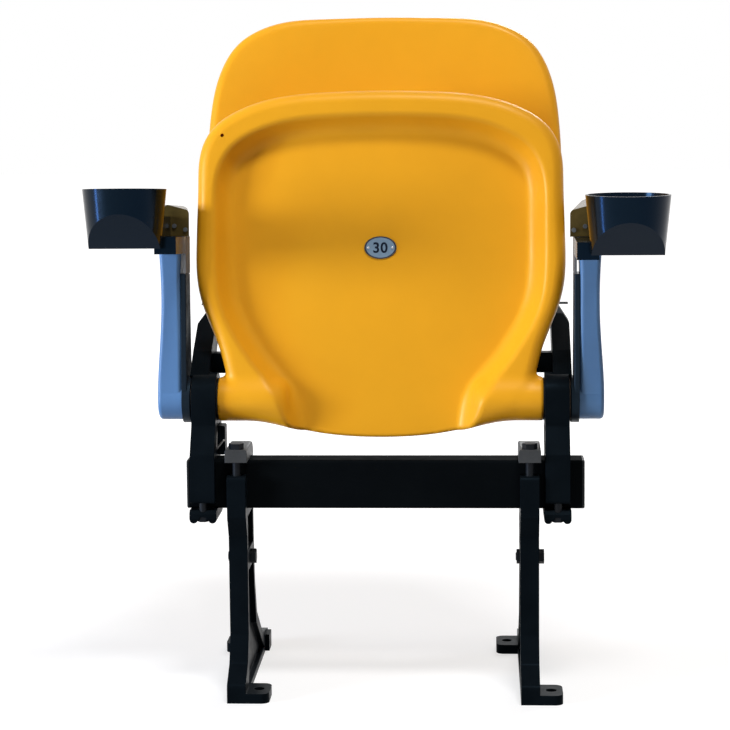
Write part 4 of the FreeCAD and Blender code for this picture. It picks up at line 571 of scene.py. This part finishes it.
def drill(piece, mouth, radius, depth):
    """Blind round hole, square to the seat's front, in the piece."""
    count = HOLE_SIDES
    across = [(radius * math.cos(turn), radius * math.sin(turn))
              for turn in np.arange(count) * math.pi / (count / 2)]
    ring = [[mouth + Matrix.Rotation(-SEAT_LEAN, 3, "X") @ Vector((x, y, z)) * MM
             for x, z in across] for y in (-HOLE_ABOVE, depth)]
    sides = [(count + i, count + (i + 1) % count, (i + 1) % count, i) for i in range(count)]
    ends = [tuple(range(count)), tuple(reversed(range(count, 2 * count)))]
    mesh = bpy.data.meshes.new("drill")
    mesh.from_pydata(ring[0] + ring[1], [], sides + ends)
    bit = bpy.data.objects.new("drill", mesh)
    bpy.context.scene.collection.objects.link(bit)
    cut = piece.modifiers.new("hole", "BOOLEAN")
    cut.operation = "DIFFERENCE"
    cut.solver = "EXACT"
    cut.object = bit
    bpy.context.view_layer.update()
    made = bpy.data.meshes.new_from_object(piece.evaluated_get(bpy.context.evaluated_depsgraph_get()))
    piece.modifiers.clear()
    piece.data = made
    made.set_sharp_from_angle(angle=math.radians(40))
    bpy.data.objects.remove(bit)


seat_map = DistanceMap(closed_spline(seat_outline()))
dish_map = DistanceMap(closed_spline(dish_outline()))
back_map = DistanceMap(closed_spline(back_outline()))

seat = moulding("seat_moulding", seat_solid(seat_map, dish_map), SEAT_LOW, SEAT_HIGH,
                SEAT_LEAN, HINGE)
drill(seat, seat_point(VENT_PLACE[0], -SEAT_DEEP, VENT_PLACE[1]), VENT_RADIUS, VENT_DEPTH)
dress(seat, YELLOW)
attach(seat, "seat")
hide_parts("seat_shell")

back = moulding("back_moulding", back_solid(back_map), BACK_LOW, BACK_HIGH,
                BACK_LEAN, BACK_FOOT)
dress(back, YELLOW)
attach(back, "frame")
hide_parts("back_shell")


# Number on the plate

PLATE_FRONT = DISH_DEPTH - SEAT_DEEP - PLATE_PROUD
dress(NODES["number_plate"], plate_material(seat_point(0, PLATE_FRONT, PLATE_UP)))


def printed_number(text, height):
    """Digits that stand a little proud of the plate's face."""
    curve = bpy.data.curves.new("plate_digits", "FONT")
    curve.body = text
    curve.align_x = "CENTER"
    curve.align_y = "CENTER"
    curve.size = height / DIGIT_SHARE
    curve.offset = height * DIGIT_WEIGHT
    curve.extrude = DIGIT_RELIEF
    curve.space_character = DIGIT_SPACING
    made = bpy.data.objects.new("plate_digits", curve)
    bpy.context.scene.collection.objects.link(made)
    bpy.context.view_layer.update()
    mesh = bpy.data.meshes.new_from_object(made.evaluated_get(bpy.context.evaluated_depsgraph_get()))
    bpy.data.objects.remove(made)
    corners = np.array([v.co for v in mesh.vertices])
    middle = (corners.min(0) + corners.max(0)) / 2
    mesh.transform(Matrix.Translation((-middle[0], -middle[1], 0)))
    mesh.transform(Matrix.Rotation(math.radians(90), 4, "X"))
    mesh.transform(Matrix.Translation(seat_point(0, PLATE_FRONT - DIGIT_PROUD, PLATE_UP))
                   @ Matrix.Rotation(-SEAT_LEAN, 4, "X"))
    piece = bpy.data.objects.new("plate_digits", mesh)
    bpy.context.scene.collection.objects.link(piece)
    return piece


digits = printed_number("30", DIGIT_HEIGHT)
dress(digits, DIGIT)
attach(digits, "seat")


# Studio

FLOOR_GREY = 0.40
FLOOR_REACH = 14.0
GLOW = (0.66, 1.0)
GLOW_FROM_TO = (0.5, 2.0)
WORLD_LEVEL = 0.18
WORLD_TINT = (1, 0.8, 0.68)


def background_rays(tree):
    """One for the rays that show the background, straight or mirrored, and zero for light."""
    path = node(tree, "ShaderNodeLightPath", (-900, 300))
    shown = path.outputs["Is Camera Ray"]
    for extra in ("Is Glossy Ray", "Is Transmission Ray"):
        add = node(tree, "ShaderNodeMath", (-700, 300), operation="MAXIMUM")
        tree.links.new(shown, add.inputs[0])
        tree.links.new(path.outputs[extra], add.inputs[1])
        shown = add.outputs[0]
    return shown


def floor_material():
    """Grey floor whose shown background rises to white away from the object."""
    material = bpy.data.materials.new("studio_floor")
    material.use_nodes = True
    tree = material.node_tree
    shader = tree.nodes["Principled BSDF"]
    shader.inputs["Base Color"].default_value = (FLOOR_GREY, FLOOR_GREY, FLOOR_GREY, 1)
    shader.inputs["Roughness"].default_value = 0.9
    shader.inputs["Specular IOR Level"].default_value = 0.1
    seen = node(tree, "ShaderNodeMath", (-300, 300), operation="MULTIPLY")
    tree.links.new(background_rays(tree), seen.inputs[0])
    spot = node(tree, "ShaderNodeTexCoord", (-1100, 0)).outputs["Object"]
    away = node(tree, "ShaderNodeVectorMath", (-900, 0), operation="LENGTH")
    tree.links.new(spot, away.inputs[0])
    tree.links.new(spread(tree, away.outputs["Value"], *GLOW, *GLOW_FROM_TO), seen.inputs[1])
    shader.inputs["Emission Color"].default_value = (1, 1, 1, 1)
    tree.links.new(seen.outputs[0], shader.inputs["Emission Strength"])
    return material


floor_mesh = bpy.data.meshes.new("floor")
floor_corners = [(x * FLOOR_REACH, y * FLOOR_REACH, 0) for x, y in ((-1, -1), (1, -1), (1, 1), (-1, 1))]
floor_mesh.from_pydata(floor_corners, [], [(0, 1, 2, 3)])
floor = bpy.data.objects.new("floor", floor_mesh)
floor_mesh.materials.append(floor_material())
bpy.context.scene.collection.objects.link(floor)


def world_light():
    """World that lights the object softly and shows white."""
    world = bpy.data.worlds.new("studio")
    world.use_nodes = True
    tree = world.node_tree
    background = tree.nodes["Background"]
    background.inputs["Strength"].default_value = 1.0
    soft = tuple(WORLD_LEVEL * c for c in WORLD_TINT)
    shade = tint(tree, background_rays(tree), soft, (1, 1, 1))
    tree.links.new(shade, background.inputs["Color"])
    bpy.context.scene.world = world


def area_lamp(name, place, aim, size, power, colour=(1, 1, 1)):
    lamp = bpy.data.lights.new(name, "AREA")
    lamp.shape = "RECTANGLE"
    lamp.size, lamp.size_y = size
    lamp.energy = power
    lamp.color = colour
    made = bpy.data.objects.new(name, lamp)
    made.location = place
    made.rotation_euler = (Vector(aim) - Vector(place)).to_track_quat("-Z", "Y").to_euler()
    bpy.context.scene.collection.objects.link(made)


world_light()
area_lamp("key", (-5.4, -2.6, 1.15), (0, 0, 0.50), (1.6, 1.5), 266)
area_lamp("front", (0.9, -2.5, 6.0), (0, 0, 0.45), (1.6, 1.0), 222)
area_lamp("rear", (0.8, 3.4, 2.6), (0, 0, 0.5), (1.6, 1.6), 60)
area_lamp("window", (-1.5, -0.45, 0.40), (0.1, -0.2, 0.50), (0.10, 0.75), 9, (0.3, 0.55, 1))


# Camera at the photograph's viewing angle

FOCAL = 2187.06
FRAME = 730
SENSOR = 36.0
EYE = Vector((0.1221, -2.6819, 0.7616))
YAW = 0.0526
PITCH = 0.1127
ROLL = -0.0091
RISE = -45

camera = bpy.data.objects.new("camera", bpy.data.cameras.new("camera"))
camera.data.sensor_width = SENSOR
camera.data.lens = FOCAL / FRAME * SENSOR
camera.data.shift_y = RISE / FRAME
flat = math.cos(PITCH)
ahead = Vector((-math.sin(YAW) * flat, math.cos(YAW) * flat, -math.sin(PITCH)))
level = Vector((math.cos(YAW), math.sin(YAW), 0))
upward = level.cross(ahead)
right = level * math.cos(ROLL) + upward * math.sin(ROLL)
above = upward * math.cos(ROLL) - level * math.sin(ROLL)
turn = Matrix((right, above, -ahead)).transposed()
camera.matrix_world = Matrix.Translation(EYE) @ turn.to_4x4()
bpy.context.scene.collection.objects.link(camera)
bpy.context.scene.camera = camera
bpy.context.scene.view_settings.view_transform = "Standard"
